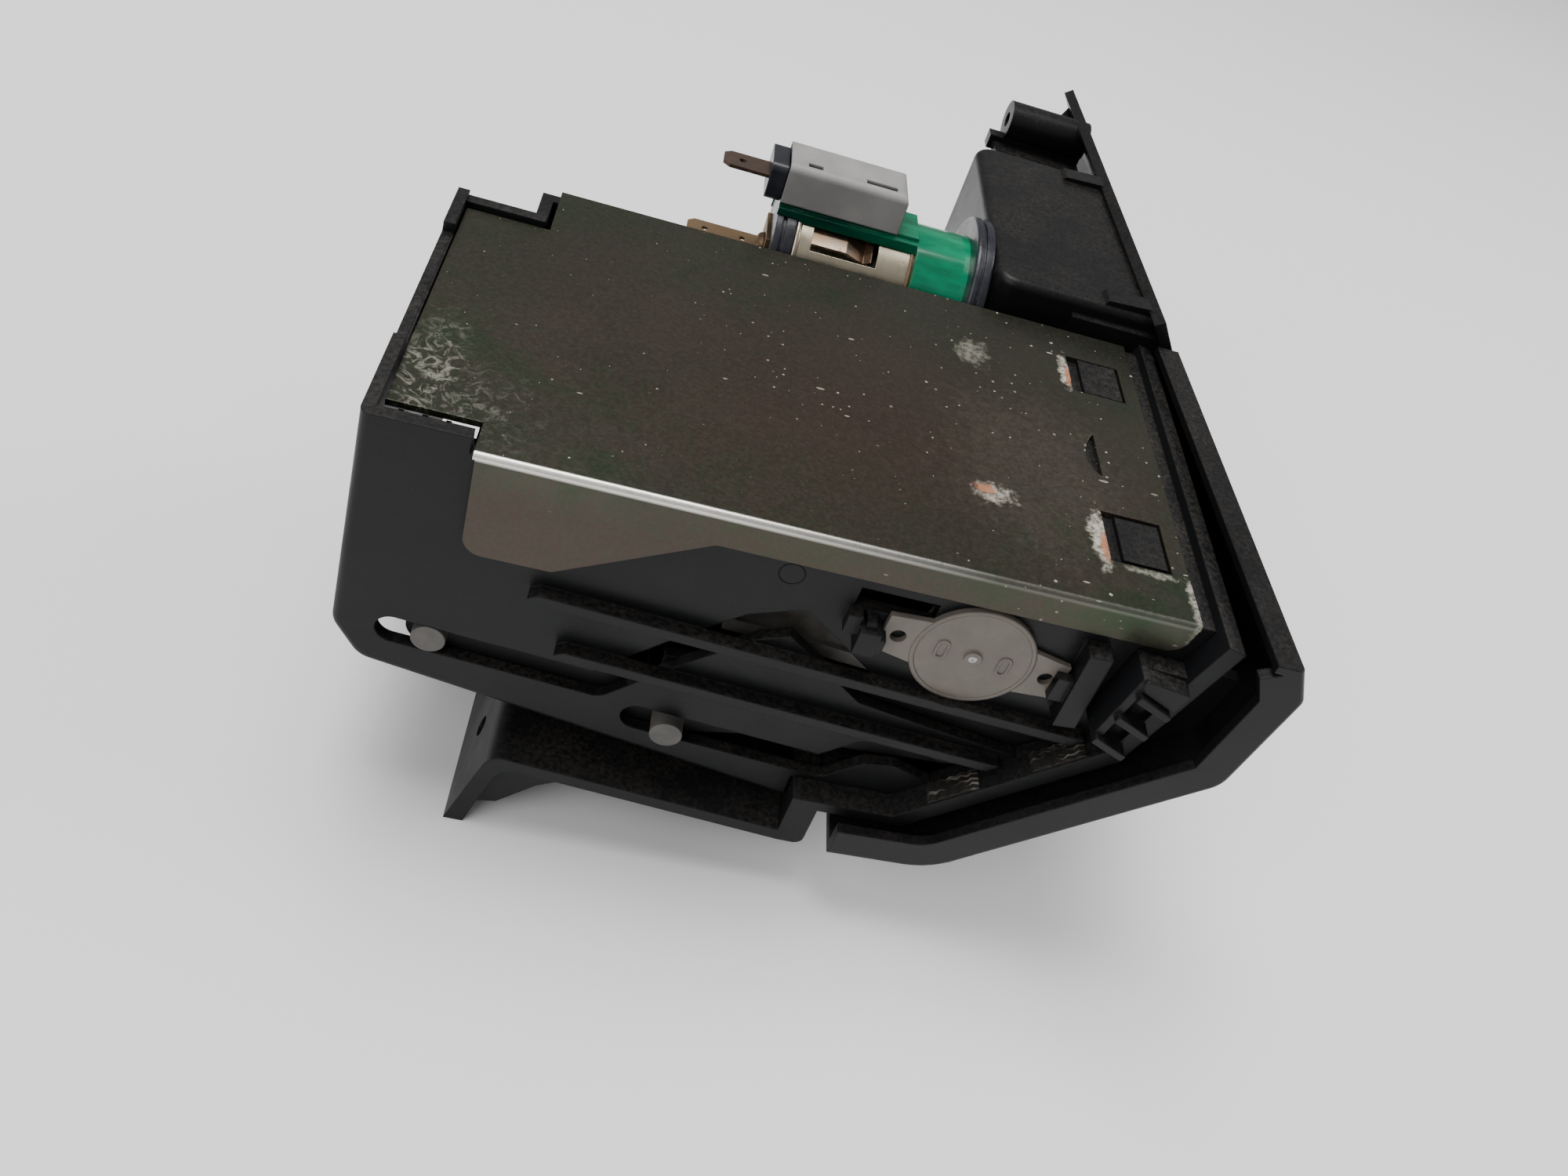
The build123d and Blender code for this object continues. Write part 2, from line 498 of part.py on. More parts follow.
def drawer_carriage():
    near = drawer_arm()
    far = mirrored(near)
    inner_far = FAR_WALL - ARM_INNER
    rear_bar = box(-5.5, 0.5, ARM_INNER - 0.5, inner_far + 0.5, -49.0, -42.5)
    front_bar = box(110.0, 113.0, ARM_INNER - 0.5, inner_far + 0.5, -32.0, -15.0)
    body = near + far + rear_bar + front_bar
    for y0, y1 in ((ARM_INNER - 0.5, BIN["y0"] - 0.4), (BIN["y1"] + 0.4, inner_far + 0.5)):
        body += box(BIN["x0"] - 1.0, BIN["x1"] + 6.0, y0, y1, BIN["z0"] + 0.2, BIN["z0"] + 2.2)
    # tie bars from the front bar to the drawer front, and pads that meet it
    for y0 in (20.0, FAR_WALL - 26.0):
        body += box(112.5, 150.0, y0, y0 + 6.0, -27.0, -18.0)
    body = body & behind_front()
    # lug and peg for the opening spring
    peg_z = SPRING_Z
    body += box(SPRING_PEG_X - 3.0, SPRING_PEG_X + 3.0, inner_far, inner_far + ARM_T, -41.0, peg_z + 3.0)
    body += rod_y(SPRING_PEG_X, peg_z, 1.4, SPRING_Y - 2.0, inner_far + 0.3)
    # pin seats
    for point in (PIN_A, PIN_B):
        for y0, y1 in ((ARM_NEAR - 1, ARM_INNER + 1), (inner_far - 1, FAR_WALL - ARM_NEAR + 1)):
            body -= rod_y(*point, PIN_R - 0.6, y0, y1)
    return body


def guide_pins(point, stand_out):
    """One pin through each side wall, with a shank in the arm."""
    pin = rod_y(*point, PIN_R, -stand_out, ARM_NEAR) + rod_y(*point, PIN_R - 0.6, ARM_NEAR - 0.1, ARM_INNER)
    return Compound([pin, mirrored(pin)])


def involute_outline(teeth, module, thin):
    """One full gear outline around the origin, with straight-topped involute teeth."""
    pressure = math.radians(20.0)
    pitch_r = module * teeth / 2
    base_r = pitch_r * math.cos(pressure)
    tip_r = pitch_r + module
    root_r = pitch_r - 1.2 * module
    half = (math.pi * module / 2 - thin) / (2 * pitch_r)
    inv_pitch = math.tan(pressure) - pressure

    def flank(radius):
        if radius <= base_r:
            return half + inv_pitch
        angle = math.acos(base_r / radius)
        return half + inv_pitch - (math.tan(angle) - angle)

    radii = [root_r] + [base_r + (tip_r - base_r) * k / 4 for k in range(5)]
    points = []
    for tooth in range(teeth):
        middle = 2 * math.pi * tooth / teeth
        for radius in radii:
            points.append((radius, middle - flank(radius)))
        for radius in reversed(radii):
            points.append((radius, middle + flank(radius)))
    return [(r * math.cos(a), r * math.sin(a)) for r, a in points]


def damper_pinion():
    cx, cz = DAMPER_C
    # a tooth points along the line from the axis to the rack
    down = math.atan2(-SLIDE[0], SLIDE[2])
    outline = []
    for px, pz in involute_outline(GEAR_TEETH, GEAR_MODULE, TOOTH_THIN):
        c, s = math.cos(down), math.sin(down)
        outline.append((cx + px * c - pz * s, cz + px * s + pz * c))
    gear = prism(outline, GEAR_Y0, GEAR_Y0 + GEAR_FACE)
    shaft = rod_y(cx, cz, 1.5, 1.6, GEAR_Y0 + 0.2)
    rotor = rod_y(cx, cz, CASE_R - 1.8, 1.4, CASE_DEPTH - 1.6)
    return gear + shaft + rotor


def damper_rack():
    """A straight rack below the pinion, parallel to the slide, with a gap facing the middle tooth."""
    cx, cz = DAMPER_C
    nx, nz = SLIDE[2], -SLIDE[0]
    if nz > 0:
        nx, nz = -nx, -nz
    pitch = math.pi * GEAR_MODULE
    foot = (cx + nx * GEAR_PITCH_R, cz + nz * GEAR_PITCH_R)
    add, ded = GEAR_MODULE * 0.95, GEAR_MODULE * 1.25
    half = (pitch / 2 - TOOTH_THIN) / 2
    slope = math.tan(math.radians(20.0))
    teeth_back, teeth_front = 17, 5
    outline = []
    for k in range(-teeth_back, teeth_front + 1):
        middle = (k + 0.5) * pitch
        for offset, depth in ((-half - ded * slope, ded), (-half + add * slope, -add),
                              (half - add * slope, -add), (half + ded * slope, ded)):
            run = middle + offset
            outline.append((foot[0] + SLIDE[0] * run + nx * depth, foot[1] + SLIDE[2] * run + nz * depth))
    front_x, back_x = outline[-1][0], outline[0][0]
    base_drop = 9.0
    outline.append((front_x, outline[-1][1] - base_drop))
    outline.append((back_x, outline[0][1] - base_drop))
    teeth = prism(outline, GEAR_Y0 - 0.2, GEAR_Y0 + GEAR_FACE + 0.2)
    low_front = outline[-2]
    low_back = outline[-1]
    foot_bar = [low_front, low_back, step(low_back, 0, 3.0), step(low_front, 0, 3.0)]
    return teeth + prism(foot_bar, ARM_INNER, GEAR_Y0 + 0.2)


def damper_plate():
    cx, cz = DAMPER_C
    y0, y1 = -DAMPER_PLATE_T, 0.0
    tilt = math.radians(DAMPER_TILT)
    plate = rod_y(cx, cz, DAMPER_R, y0, y1)
    ux, uz = math.cos(tilt), math.sin(tilt)
    for side in (-1, 1):
        ear = []
        for along_ear, across in ((8.0, 5.6), (EAR_REACH + 3.0, 4.2), (EAR_REACH + 3.0, -4.2), (8.0, -5.6)):
            ear.append((cx + side * along_ear * ux - across * uz, cz + side * along_ear * uz + across * ux))
        plate += prism(ear, y0, y1)
    for side in (-1, 1):
        hx, hz = cx + side * EAR_REACH * ux, cz + side * EAR_REACH * uz
        plate -= rod_y(hx, hz, EAR_HOLE_R, y0 - 1, y1 + 1)
        ox, oz = cx + side * 6.0 * ux, cz + side * 6.0 * uz
        oval = stadium((ox, oz - 1.1), (ox, oz + 1.1), 1.2, y0 - 0.25, y0 + 0.1)
        plate += oval - stadium((ox, oz - 1.1), (ox, oz + 1.1), 0.7, y0 - 1.0, y0)
    plate += rod_y(cx, cz, 1.6, y0 - 0.5, y0 + 0.1)
    return plate


def damper_case():
    cx, cz = DAMPER_C
    case = rod_y(cx, cz, CASE_R, 0.0, CASE_DEPTH)
    case -= rod_y(cx, cz, CASE_R - 1.2, -1.0, CASE_DEPTH - 1.2)
    case -= rod_y(cx, cz, 1.55, -1.0, CASE_DEPTH + 1.0)
    return case


def coil(radius, wire, turns, length):
    """A round-wire helix along Z from the origin."""
    path = Helix(length / turns, length, radius)
    section = Plane(origin=path @ 0, z_dir=path % 0) * Circle(wire)
    return sweep(section, path=path, is_frenet=True)


def opening_spring():
    """Tension coil between the peg on the carriage and the post in the wall, with an eye at each end."""
    wire = 0.35
    start, end = SPRING_PEG_X + 4.0, SPRING_POST_X - 4.0
    spring = Pos(start, SPRING_Y, SPRING_Z) * Rot(0, 90, 0) * coil(SPRING_R, wire, 18, end - start)
    for x, leg_end in ((SPRING_PEG_X, start + 0.1), (SPRING_POST_X, end - 0.1)):
        spring += rod_x(SPRING_Y, SPRING_Z - SPRING_R, wire, x, leg_end)
        spring += Pos(x, SPRING_Y, SPRING_Z) * Rot(90, 0, 0) * Torus(SPRING_R - 0.2, wire)
    return spring


def ash_bin():
    b = BIN
    cup = box(b["x0"], b["x1"], b["y0"], b["y1"], b["z0"], b["z1"])
    cup = fillet(cup.edges().filter_by(Axis.Z), 4.0)
    cup = fillet(cup.faces().sort_by(Axis.Z)[-1].edges(), 2.0)
    hollow = box(b["x0"] + 0.8, b["x1"] - 0.8, b["y0"] + 0.8, b["y1"] - 0.8, b["z0"] - 1.0, b["z1"] - 0.8)
    hollow = fillet(hollow.edges().filter_by(Axis.Z), 3.2)
    rim = box(b["x0"] - 1.0, b["x1"] + 2.0, b["y0"] - 4.5, b["y1"] + 4.5, b["z0"] - 0.8, b["z0"] + 0.2)
    return cup + rim - hollow


def snuffer_plate():
    b = BIN
    x0 = b["x0"] + 20.0
    plate = box(x0, x0 + 0.8, b["y0"] + 0.9, b["y1"] - 0.9, b["z0"] + 1.0, b["z1"] - 12.0)
    middle = (b["y0"] + b["y1"]) / 2
    for k in (-1, 0, 1):
        plate -= rod_x(middle + 15.0 * k, b["z0"] + 1.0, 4.2, x0 - 1, x0 + 2)
        plate -= box(x0 - 1, x0 + 2, middle + 15.0 * k - 1.2, middle + 15.0 * k + 1.2, b["z0"] + 4.0, -34.0)
    return plate


def bin_spring():
    """A bent steel leaf between the carriage's front bar and the bin."""
    x1 = 110.0
    leaf = [(x1, -30.0), (x1, -18.0), (x1 - 0.5, -18.0), (x1 - 0.5, -21.0), (BIN["x1"] + 0.6, -24.0),
            (x1 - 0.5, -27.0), (x1 - 0.5, -30.0)]
    inner = [(x1 - 0.5, -21.6), (BIN["x1"] + 1.7, -24.0), (x1 - 0.5, -26.4)]
    y0 = (BIN["y0"] + BIN["y1"]) / 2 - 6.0
    return prism(leaf, y0, y0 + 12.0) - prism(inner, y0 - 1, y0 + 13.0)


LATCH_Y = HOUSING_WIDTH / 2


def rear_inner_x(z):
    """x of the rear wall's inner face, which leans back as it goes down."""
    (top_x, top_z), (low_x, low_z) = REAR_INNER
    return top_x + (low_x - top_x) * (top_z - z) / (top_z - low_z)


def latch_clip():
    low, top = -44.0, -37.0
    x0 = rear_inner_x(top)
    base = [(rear_inner_x(low), low), (x0, top), (x0 + 1.0, top), (x0 + 1.0, low)]
    clip = prism(base, LATCH_Y - 7.0, LATCH_Y + 7.0)
    for side in (-1, 1):
        y_in, y_out = LATCH_Y + side * 3.2, LATCH_Y + side * 4.0
        clip += box(x0 + 0.4, x0 + 8.6, min(y_in, y_out), max(y_in, y_out), -42.2, -39.0)
        clip += Pos(x0 + 8.0, LATCH_Y + side * 3.6, -40.6) * Rot(0, 0, side * 35) * Box(3.0, 0.8, 3.2)
    return clip


def latch_striker():
    bar = box(-9.0, -5.5, LATCH_Y - 1.3, LATCH_Y + 1.3, -46.0, -42.6)
    head = rod_z(-9.0, LATCH_Y, 1.9, -44.0, -39.5) + rod_z(-9.0, LATCH_Y, 1.9, -46.0, -43.9)
    return bar + head - box(-5.5, -3.0, LATCH_Y - 3, LATCH_Y + 3, -50, -40)


def fascia_run():
    shift = PLAN_SKEW * (FASCIA_NEAR_Y - FRONT_NEAR_Y)
    run = [(OUTER_TOP[0] - 5.5, FASCIA_TOP), OUTER_BROW, OUTER_NOSE, OUTER_HEEL]
    return [(x + shift, z) for x, z in run]


def fascia_x(y, z):
    """x of the fascia's inner face on its upright part."""
    run = inset(fascia_run(), FASCIA_T)
    high, low = (run[0], run[1]) if z > run[1][1] else (run[1], run[2])
    share = (z - high[1]) / (low[1] - high[1])
    return high[0] + (low[0] - high[0]) * share + PLAN_SKEW * (y - FASCIA_NEAR_Y)


def pocket_block(wall):
    """The pocket's outer block, or with a wall thickness its hollow."""
    return box(POCKET_REAR_X + wall, 160.0, POCKET_NEAR_Y + wall, POCKET_FAR_Y - wall,
               POCKET_BOTTOM + wall, POCKET_TOP - wall)


def fascia_panel():
    run = fascia_run()
    panel = prism(band(run, FASCIA_T), FASCIA_NEAR_Y, FASCIA_FAR_Y, skew=PLAN_SKEW)
    # side wall beside the front frame
    wall_x0 = 112.0
    wall = box(wall_x0, 160.0, FRAME_FAR_Y, POCKET_NEAR_Y + 0.2, -52.0, SIDE_WALL_TOP)
    keep = [(90.0, 30.0)] + [(x - 1.0, z) for x, z in run] + [(90.0, run[-1][1])]
    keep_body = prism(keep, FASCIA_NEAR_Y, FASCIA_FAR_Y, skew=PLAN_SKEW)
    panel += wall & keep_body
    # pocket: a soft-edged box, open through the fascia
    shell = pocket_block(0.0)
    upright = [e for e in shell.edges().filter_by(Axis.Z) if e.center().X < 140]
    shell = fillet(upright, POCKET_CORNER_R)
    rim = [e for e in shell.edges() if abs(e.center().Z - POCKET_TOP) < 0.1 and e.center().X < 145]
    panel += fillet(rim, POCKET_EDGE_R) & keep_body
    hollow = pocket_block(POCKET_T)
    upright = [e for e in hollow.edges().filter_by(Axis.Z) if e.center().X < 140]
    panel -= fillet(upright, POCKET_CORNER_R - POCKET_T)
    panel -= rod_x(SOCKET_Y, SOCKET_Z, RING_R + 0.1, POCKET_REAR_X - 1, POCKET_REAR_X + 40.0)
    # screw boss and its rib
    by, bz = SCREW_BOSS
    boss_end = fascia_x(by, bz) + 0.8
    panel += rod_x(by, bz, SCREW_BOSS_R, SCREW_BOSS_X, boss_end)
    panel += box(SCREW_BOSS_X - 3.5, boss_end, by - 3.4, by + 0.4, bz - 7.6, bz - 3.8)
    # web from the boss to the pocket, and a gusset from the boss to the fascia's far end
    panel += box(SCREW_BOSS_X - 2.0, boss_end, POCKET_FAR_Y - 0.5, by, bz - 7.6, bz - 5.4)
    tip_y = FASCIA_FAR_Y - 1.0
    plan = [(boss_end - 9.0, by + 3.5), (boss_end, by + 3.5), (fascia_x(tip_y, bz) + 0.5, tip_y),
            (fascia_x(tip_y, bz) - 0.8, tip_y)]
    outline = Polyline([(px, py, bz - 1.0) for px, py in plan], close=True)
    panel += extrude(make_face(outline), amount=2.4, dir=(0, 0, 1))
    panel -= rod_x(by, bz, SCREW_BOSS_BORE_R, SCREW_BOSS_X - 1.0, SCREW_BOSS_X + SCREW_BOSS_DEPTH)
    # snap tabs on the back of the fascia
    for y0 in (POCKET_NEAR_Y + 1.0, POCKET_FAR_Y - 7.0):
        x1 = fascia_x(y0 + 5.0, POCKET_TOP) + 0.2
        tab = [(x1, POCKET_TOP + 1.4), (x1, POCKET_TOP - 0.5), (x1 - 11.0, POCKET_TOP - 0.5),
               (x1 - 10.0, POCKET_TOP + 0.9)]
        panel += prism(tab, y0, y0 + 5.0)
    # the lower edge rises towards the far end
    end_y = FASCIA_FAR_Y + 1.0
    corners = [(FASCIA_CUT_Y, POCKET_BOTTOM - 3.0), (end_y, FASCIA_FAR_LOW), (end_y, -90.0),
               (FASCIA_CUT_Y, -90.0)]
    outline = Polyline([(60.0, py, pz) for py, pz in corners], close=True)
    panel -= extrude(make_face(outline), amount=120.0, dir=(1, 0, 0))
    return panel


def socket_shell():
    y, z = SOCKET_Y, SOCKET_Z
    shell = tube_x(y, z, SHELL_R, BORE_R, SHELL_REAR_X, SOCKET_FRONT_X)
    shell += tube_x(y, z, SHELL_R + 1.6, BORE_R, SOCKET_FRONT_X, SOCKET_FRONT_X + 1.0)
    for angle in (118.0, 298.0):
        cut = box(54.0, 69.0, -5.2, 5.2, 6.0, 16.0)
        shell -= Pos(0, y, z) * Rot(angle - 90.0, 0, 0) * cut
    return shell


def socket_insulator():
    y, z = SOCKET_Y, SOCKET_Z
    disc = rod_x(y, z, INSULATOR_R, SHELL_REAR_X - 4.5, SHELL_REAR_X)
    disc -= tube_x(y, z, INSULATOR_R + 1, INSULATOR_R - 0.7, SHELL_REAR_X - 3.0, SHELL_REAR_X - 2.2)
    disc += rod_x(y, z, BORE_R - 0.1, SHELL_REAR_X, SHELL_REAR_X + 3.0)
    disc = disc - rod_x(y, z, 2.05, SHELL_REAR_X - 6, SHELL_REAR_X + 6)
    return disc


def centre_contact():
    y, z = SOCKET_Y, SOCKET_Z
    rivet = rod_x(y, z, 2.0, SHELL_REAR_X - 5.5, SHELL_REAR_X + 4.0)
    head = rod_x(y, z, 4.0, SHELL_REAR_X + 3.0, SHELL_REAR_X + 4.0)
    return rivet + head


def blade(x0, x1, y, z):
    """A flat blade with a locking hole and a bevelled end towards -X."""
    plan = [(x1, y - BLADE_W / 2), (x0 + 1.5, y - BLADE_W / 2), (x0, y - BLADE_W / 2 + 1.3),
            (x0, y + BLADE_W / 2 - 1.3), (x0 + 1.5, y + BLADE_W / 2), (x1, y + BLADE_W / 2)]
    outline = Polyline([(px, py, z - BLADE_T / 2) for px, py in plan], close=True)
    strip = extrude(make_face(outline), amount=BLADE_T, dir=(0, 0, 1))
    return strip - rod_z(x0 + 4.2, y, 0.85, z - 2, z + 2)


def supply_terminal():
    """The lower blade, bent up behind the insulator and held by the centre rivet."""
    y, z = SOCKET_Y, SOCKET_Z
    back = SHELL_REAR_X - 4.5
    strap = box(back - BLADE_T, back, y - 5.0, y + 7.4, z - 5.0, z + 4.0)
    tongue = blade(back - 18.0, back - BLADE_T + 0.2, y + 4.0, z - 2.6)
    tongue -= rod_z(back - 5.0, y + 4.0, 0.85, z - 4, z - 2)
    return strap + tongue - rod_x(y, z, 2.05, back - 3, back + 3)


def bimetal_clips():
    """Two curled spring fingers that stand in the shell's windows."""
    clips = []
    for angle in (118.0, 298.0):
        finger = [(54.0, 0.0), (54.0, 0.6), (62.0, 0.6), (66.5, -1.6), (68.0, -0.4), (68.5, -0.9),
                  (66.6, -2.5), (61.8, 0.0)]
        shifted = [(px, pz + BORE_R - 0.75) for px, pz in finger]
        solid = prism(shifted, -3.6, 3.6)
        clips.append(Pos(0, SOCKET_Y, SOCKET_Z) * Rot(angle - 90.0, 0, 0) * solid)
    return clips


LAMP_Y = SOCKET_Y + 1.0
LAMP_Z = SOCKET_Z + SHELL_R + 5.6


def light_ring():
    """Green ring round the socket's mouth, with a light strip that runs back under the lamp."""
    y, z = SOCKET_Y, SOCKET_Z
    ring = tube_x(y, z, RING_R, RING_IN_R, 77.0, SOCKET_FRONT_X - 0.4)
    strip = tube_x(y, z, RING_R, RING_IN_R, 45.2, 77.5)
    wedge = box(44.0, 78.0, y - 5.5, y + 11.5, z + 2.0, z + 20.0)
    # the head of the strip fills the space up to the lamp shade
    head = box(45.2, 77.0, LAMP_Y - 5.6, LAMP_Y + 5.6, z + RING_IN_R - 1.0, z + RING_R + 0.05)
    head -= rod_x(y, z, RING_IN_R, 44.0, 79.0)
    return ring + (strip & wedge) + head - rod_x(y, z, INSULATOR_R + 0.1, 44.0, SHELL_REAR_X + 0.2)


def light_collar():
    """Black collar round the light ring, clamped against the pocket's rear wall."""
    x1 = POCKET_REAR_X
    collar = tube_x(SOCKET_Y, SOCKET_Z, COLLAR_R, RING_R + 0.05, x1 - COLLAR_W, x1)
    round_edges = collar.edges().filter_by(GeomType.CIRCLE)
    outer = [e for e in round_edges if e.radius > COLLAR_R - 0.01]
    collar = fillet(outer, 0.7)
    groove = tube_x(SOCKET_Y, SOCKET_Z, COLLAR_R + 1, COLLAR_R - 0.6, x1 - 2.6, x1 - 2.0)
    return collar - groove


def lamp_shade():
    x0, x1 = 45.2, 71.8
    y0, y1 = LAMP_Y - 6.4, LAMP_Y + 6.4
    low, top = SOCKET_Z + RING_R + 0.05, LAMP_Z + 5.4
    shade = box(x0, x1, y0, y1, low, top)
    upper = [e for e in shell_edges(shade, top)]
    shade = fillet(upper, 1.6)
    shade -= box(x0 - 1, x1 - 0.6, y0 + 0.6, y1 - 0.6, low - 1, top - 0.6)
    for s0, s1 in ((49.0, 52.2), (62.0, 69.0)):
        shade -= box(s0, s1, y0 + 1.8, y0 + 3.4, top - 2, top + 1)
    return shade


def shell_edges(solid, height):
    picked = []
    for edge in solid.edges():
        if abs(edge.center().Z - height) < 0.01 and abs(edge.center().X - 45.2) > 1:
            picked.append(edge)
    return picked


def lamp_holder():
    plug = box(41.5, 45.1, LAMP_Y - 5.4, LAMP_Y + 5.4, LAMP_Z - 4.2, LAMP_Z + 4.2)
    plug = fillet(plug.edges().filter_by(Axis.X), 1.5)
    neck = rod_x(LAMP_Y, LAMP_Z, 3.2, 45.1, 53.0)
    plug = plug + neck
    plug -= rod_x(LAMP_Y, LAMP_Z, 2.3, 47.5, 54.0)
    plug -= box(40, 48, LAMP_Y - BLADE_W / 2, LAMP_Y + BLADE_W / 2,
                LAMP_Z - BLADE_T / 2, LAMP_Z + BLADE_T / 2)
    return plug


def lamp_bulb():
    base = rod_x(LAMP_Y, LAMP_Z, 2.25, 47.5, 53.0)
    glass = rod_x(LAMP_Y, LAMP_Z, 2.5, 53.0, 58.0) + Pos(58.0, LAMP_Y, LAMP_Z) * Sphere(2.5)
    return base + glass


def lamp_terminal():
    return blade(31.4, 47.4, LAMP_Y, LAMP_Z)


def lighter_sleeve():
    """Plug body: a tube with a flange, open at the back."""
    y, z = SOCKET_Y, SOCKET_Z
    outer = BORE_R - SLEEVE_GAP
    body = tube_x(y, z, outer, outer - 0.8, 78.0, SOCKET_FRONT_X + 1.0)
    flange = tube_x(y, z, BORE_R + 1.4, 2.56, SOCKET_FRONT_X + 1.15, FLANGE_FACE_X)
    neck = tube_x(y, z, outer, 2.56, NECK_X, SOCKET_FRONT_X + 1.3)
    return body + flange + neck


def lighter_knob():
    """Pull knob with a finger rim; its shaft runs through the sleeve."""
    y, z = SOCKET_Y, SOCKET_Z
    x0 = KNOB_REAR_X
    knob = rod_x(y, z, 9.4, x0, x0 + 9.0)
    knob = fillet(knob.edges().sort_by(Axis.X)[-1], 1.6)
    rim = rod_x(y, z, 10.4, x0 + 6.4, x0 + 8.2)
    knob = knob + fillet(rim.edges(), 0.5)
    knob -= rod_x(y, z, 6.5, x0 + 8.5, x0 + 12)
    knob -= rod_x(y, z, KNOB_RECESS_R, x0 - 1.0, x0 + KNOB_RECESS)
    shaft = rod_x(y, z, 2.5, 72.5, x0 + KNOB_RECESS + 1.0)
    return knob + shaft


def heater_cup():
    """Shallow steel cup with the heating coil, on the end of the knob's shaft."""
    y, z = SOCKET_Y, SOCKET_Z
    cup = rod_x(y, z, 6.9, 66.0, 72.5) - rod_x(y, z, 6.2, 65.0, 71.3)
    ridge = rod_x(y, z, 5.6, 68.4, 71.3) - rod_x(y, z, 4.8, 68.0, 71.3)
    core = rod_x(y, z, 3.8, 68.4, 71.3) - rod_x(y, z, 3.0, 68.0, 71.3)
    pip = rod_x(y, z, 1.4, 67.6, 71.5)
    return cup + ridge + core + pip


def knob_spring():
    """Return spring between the sleeve's flange and the recess in the knob."""
    wire = 0.4
    start, end = FLANGE_FACE_X + wire, KNOB_REAR_X + KNOB_RECESS - wire
    return Pos(start, SOCKET_Y, SOCKET_Z) * Rot(0, 90, 0) * coil(4.6, wire, 5, end - start)


def shaft_collar():
    """Collar on the shaft that stops the knob against the sleeve's neck."""
    return tube_x(SOCKET_Y, SOCKET_Z, 7.0, 2.5, NECK_X - 1.7, NECK_X - 0.2)


def pocket_mat():
    """Ribbed rubber mat on the pocket's floor side."""
    z0 = POCKET_BOTTOM + POCKET_T
    x0 = POCKET_REAR_X + POCKET_T + 3.0
    length = 22.0
    mat = box(x0, x0 + length, POCKET_NEAR_Y + POCKET_T + 3.5, POCKET_FAR_Y - POCKET_T - 3.5, z0, z0 + 1.0)
    for k in range(7):
        x = x0 + 1.0 + 3.0 * k
        mat += box(x, x + 1.4, POCKET_NEAR_Y + 9.0, POCKET_FAR_Y - 9.0, z0 + 0.9, z0 + 1.5)
    return mat


def spring_post():
    """Steel pin in the lighter-side wall that the opening spring hooks on."""
    pin = rod_y(SPRING_POST_X, SPRING_Z, 1.4, SPRING_Y - 2.0, FAR_WALL - WALL)
    head = rod_y(SPRING_POST_X, SPRING_Z, 2.2, SPRING_Y - 2.8, SPRING_Y - 2.0)
    return pin + head


def build():
    return {
        "housing": housing(),
        "steel_cover": steel_cover(),
        "front_frame": front_frame(),
        "crush_pads": crush_pads(),
        "damper_plate": damper_plate(),
        "damper_case": damper_case(),
        "damper_pinion": damper_pinion(),
        "damper_rack": damper_rack(),
        "drawer_front": drawer_front(),
        "drawer_carriage": drawer_carriage(),
        "rear_guide_pins": guide_pins(PIN_A, 0.1),
        "front_guide_pins": guide_pins(PIN_B, 2.4),
        "opening_spring": opening_spring(),
        "spring_post": spring_post(),
        "ash_bin": ash_bin(),
        "snuffer_plate": snuffer_plate(),
        "bin_spring": bin_spring(),
        "latch_clip": latch_clip(),
        "latch_striker": latch_striker(),
        "fascia_panel": fascia_panel(),
        "pocket_mat": pocket_mat(),
        "socket_shell": socket_shell(),
        "socket_insulator": socket_insulator(),
        "centre_contact": centre_contact(),
        "supply_terminal": supply_terminal(),
        "bimetal_clips": Compound(bimetal_clips()),
        "light_ring": light_ring(),
        "light_collar": light_collar(),
        "lamp_shade": lamp_shade(),
        "lamp_holder": lamp_holder(),
        "lamp_bulb": lamp_bulb(),
        "lamp_terminal": lamp_terminal(),
        "lighter_sleeve": lighter_sleeve(),
        "lighter_knob": lighter_knob(),
        "shaft_collar": shaft_collar(),
        "heater_cup": heater_cup(),
        "knob_spring": knob_spring(),
    }


pieces = build()
whole = Compound([p for piece in pieces.values() for p in piece.solids()]).bounding_box()
ORIGIN = ((whole.min.X + whole.max.X) / 2, (whole.min.Y + whole.max.Y) / 2, whole.min.Z)
for name, piece in pieces.items():
    placed = Pos(-ORIGIN[0], -ORIGIN[1], -ORIGIN[2]) * Compound(piece.solids())
    export_step(placed, f"parts/{name}.step")
print("origin", [round(v, 3) for v in ORIGIN])
print("size", [round(v, 2) for v in whole.size])
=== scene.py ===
import json
import math

import bmesh
import bpy
from mathutils import Matrix, Vector


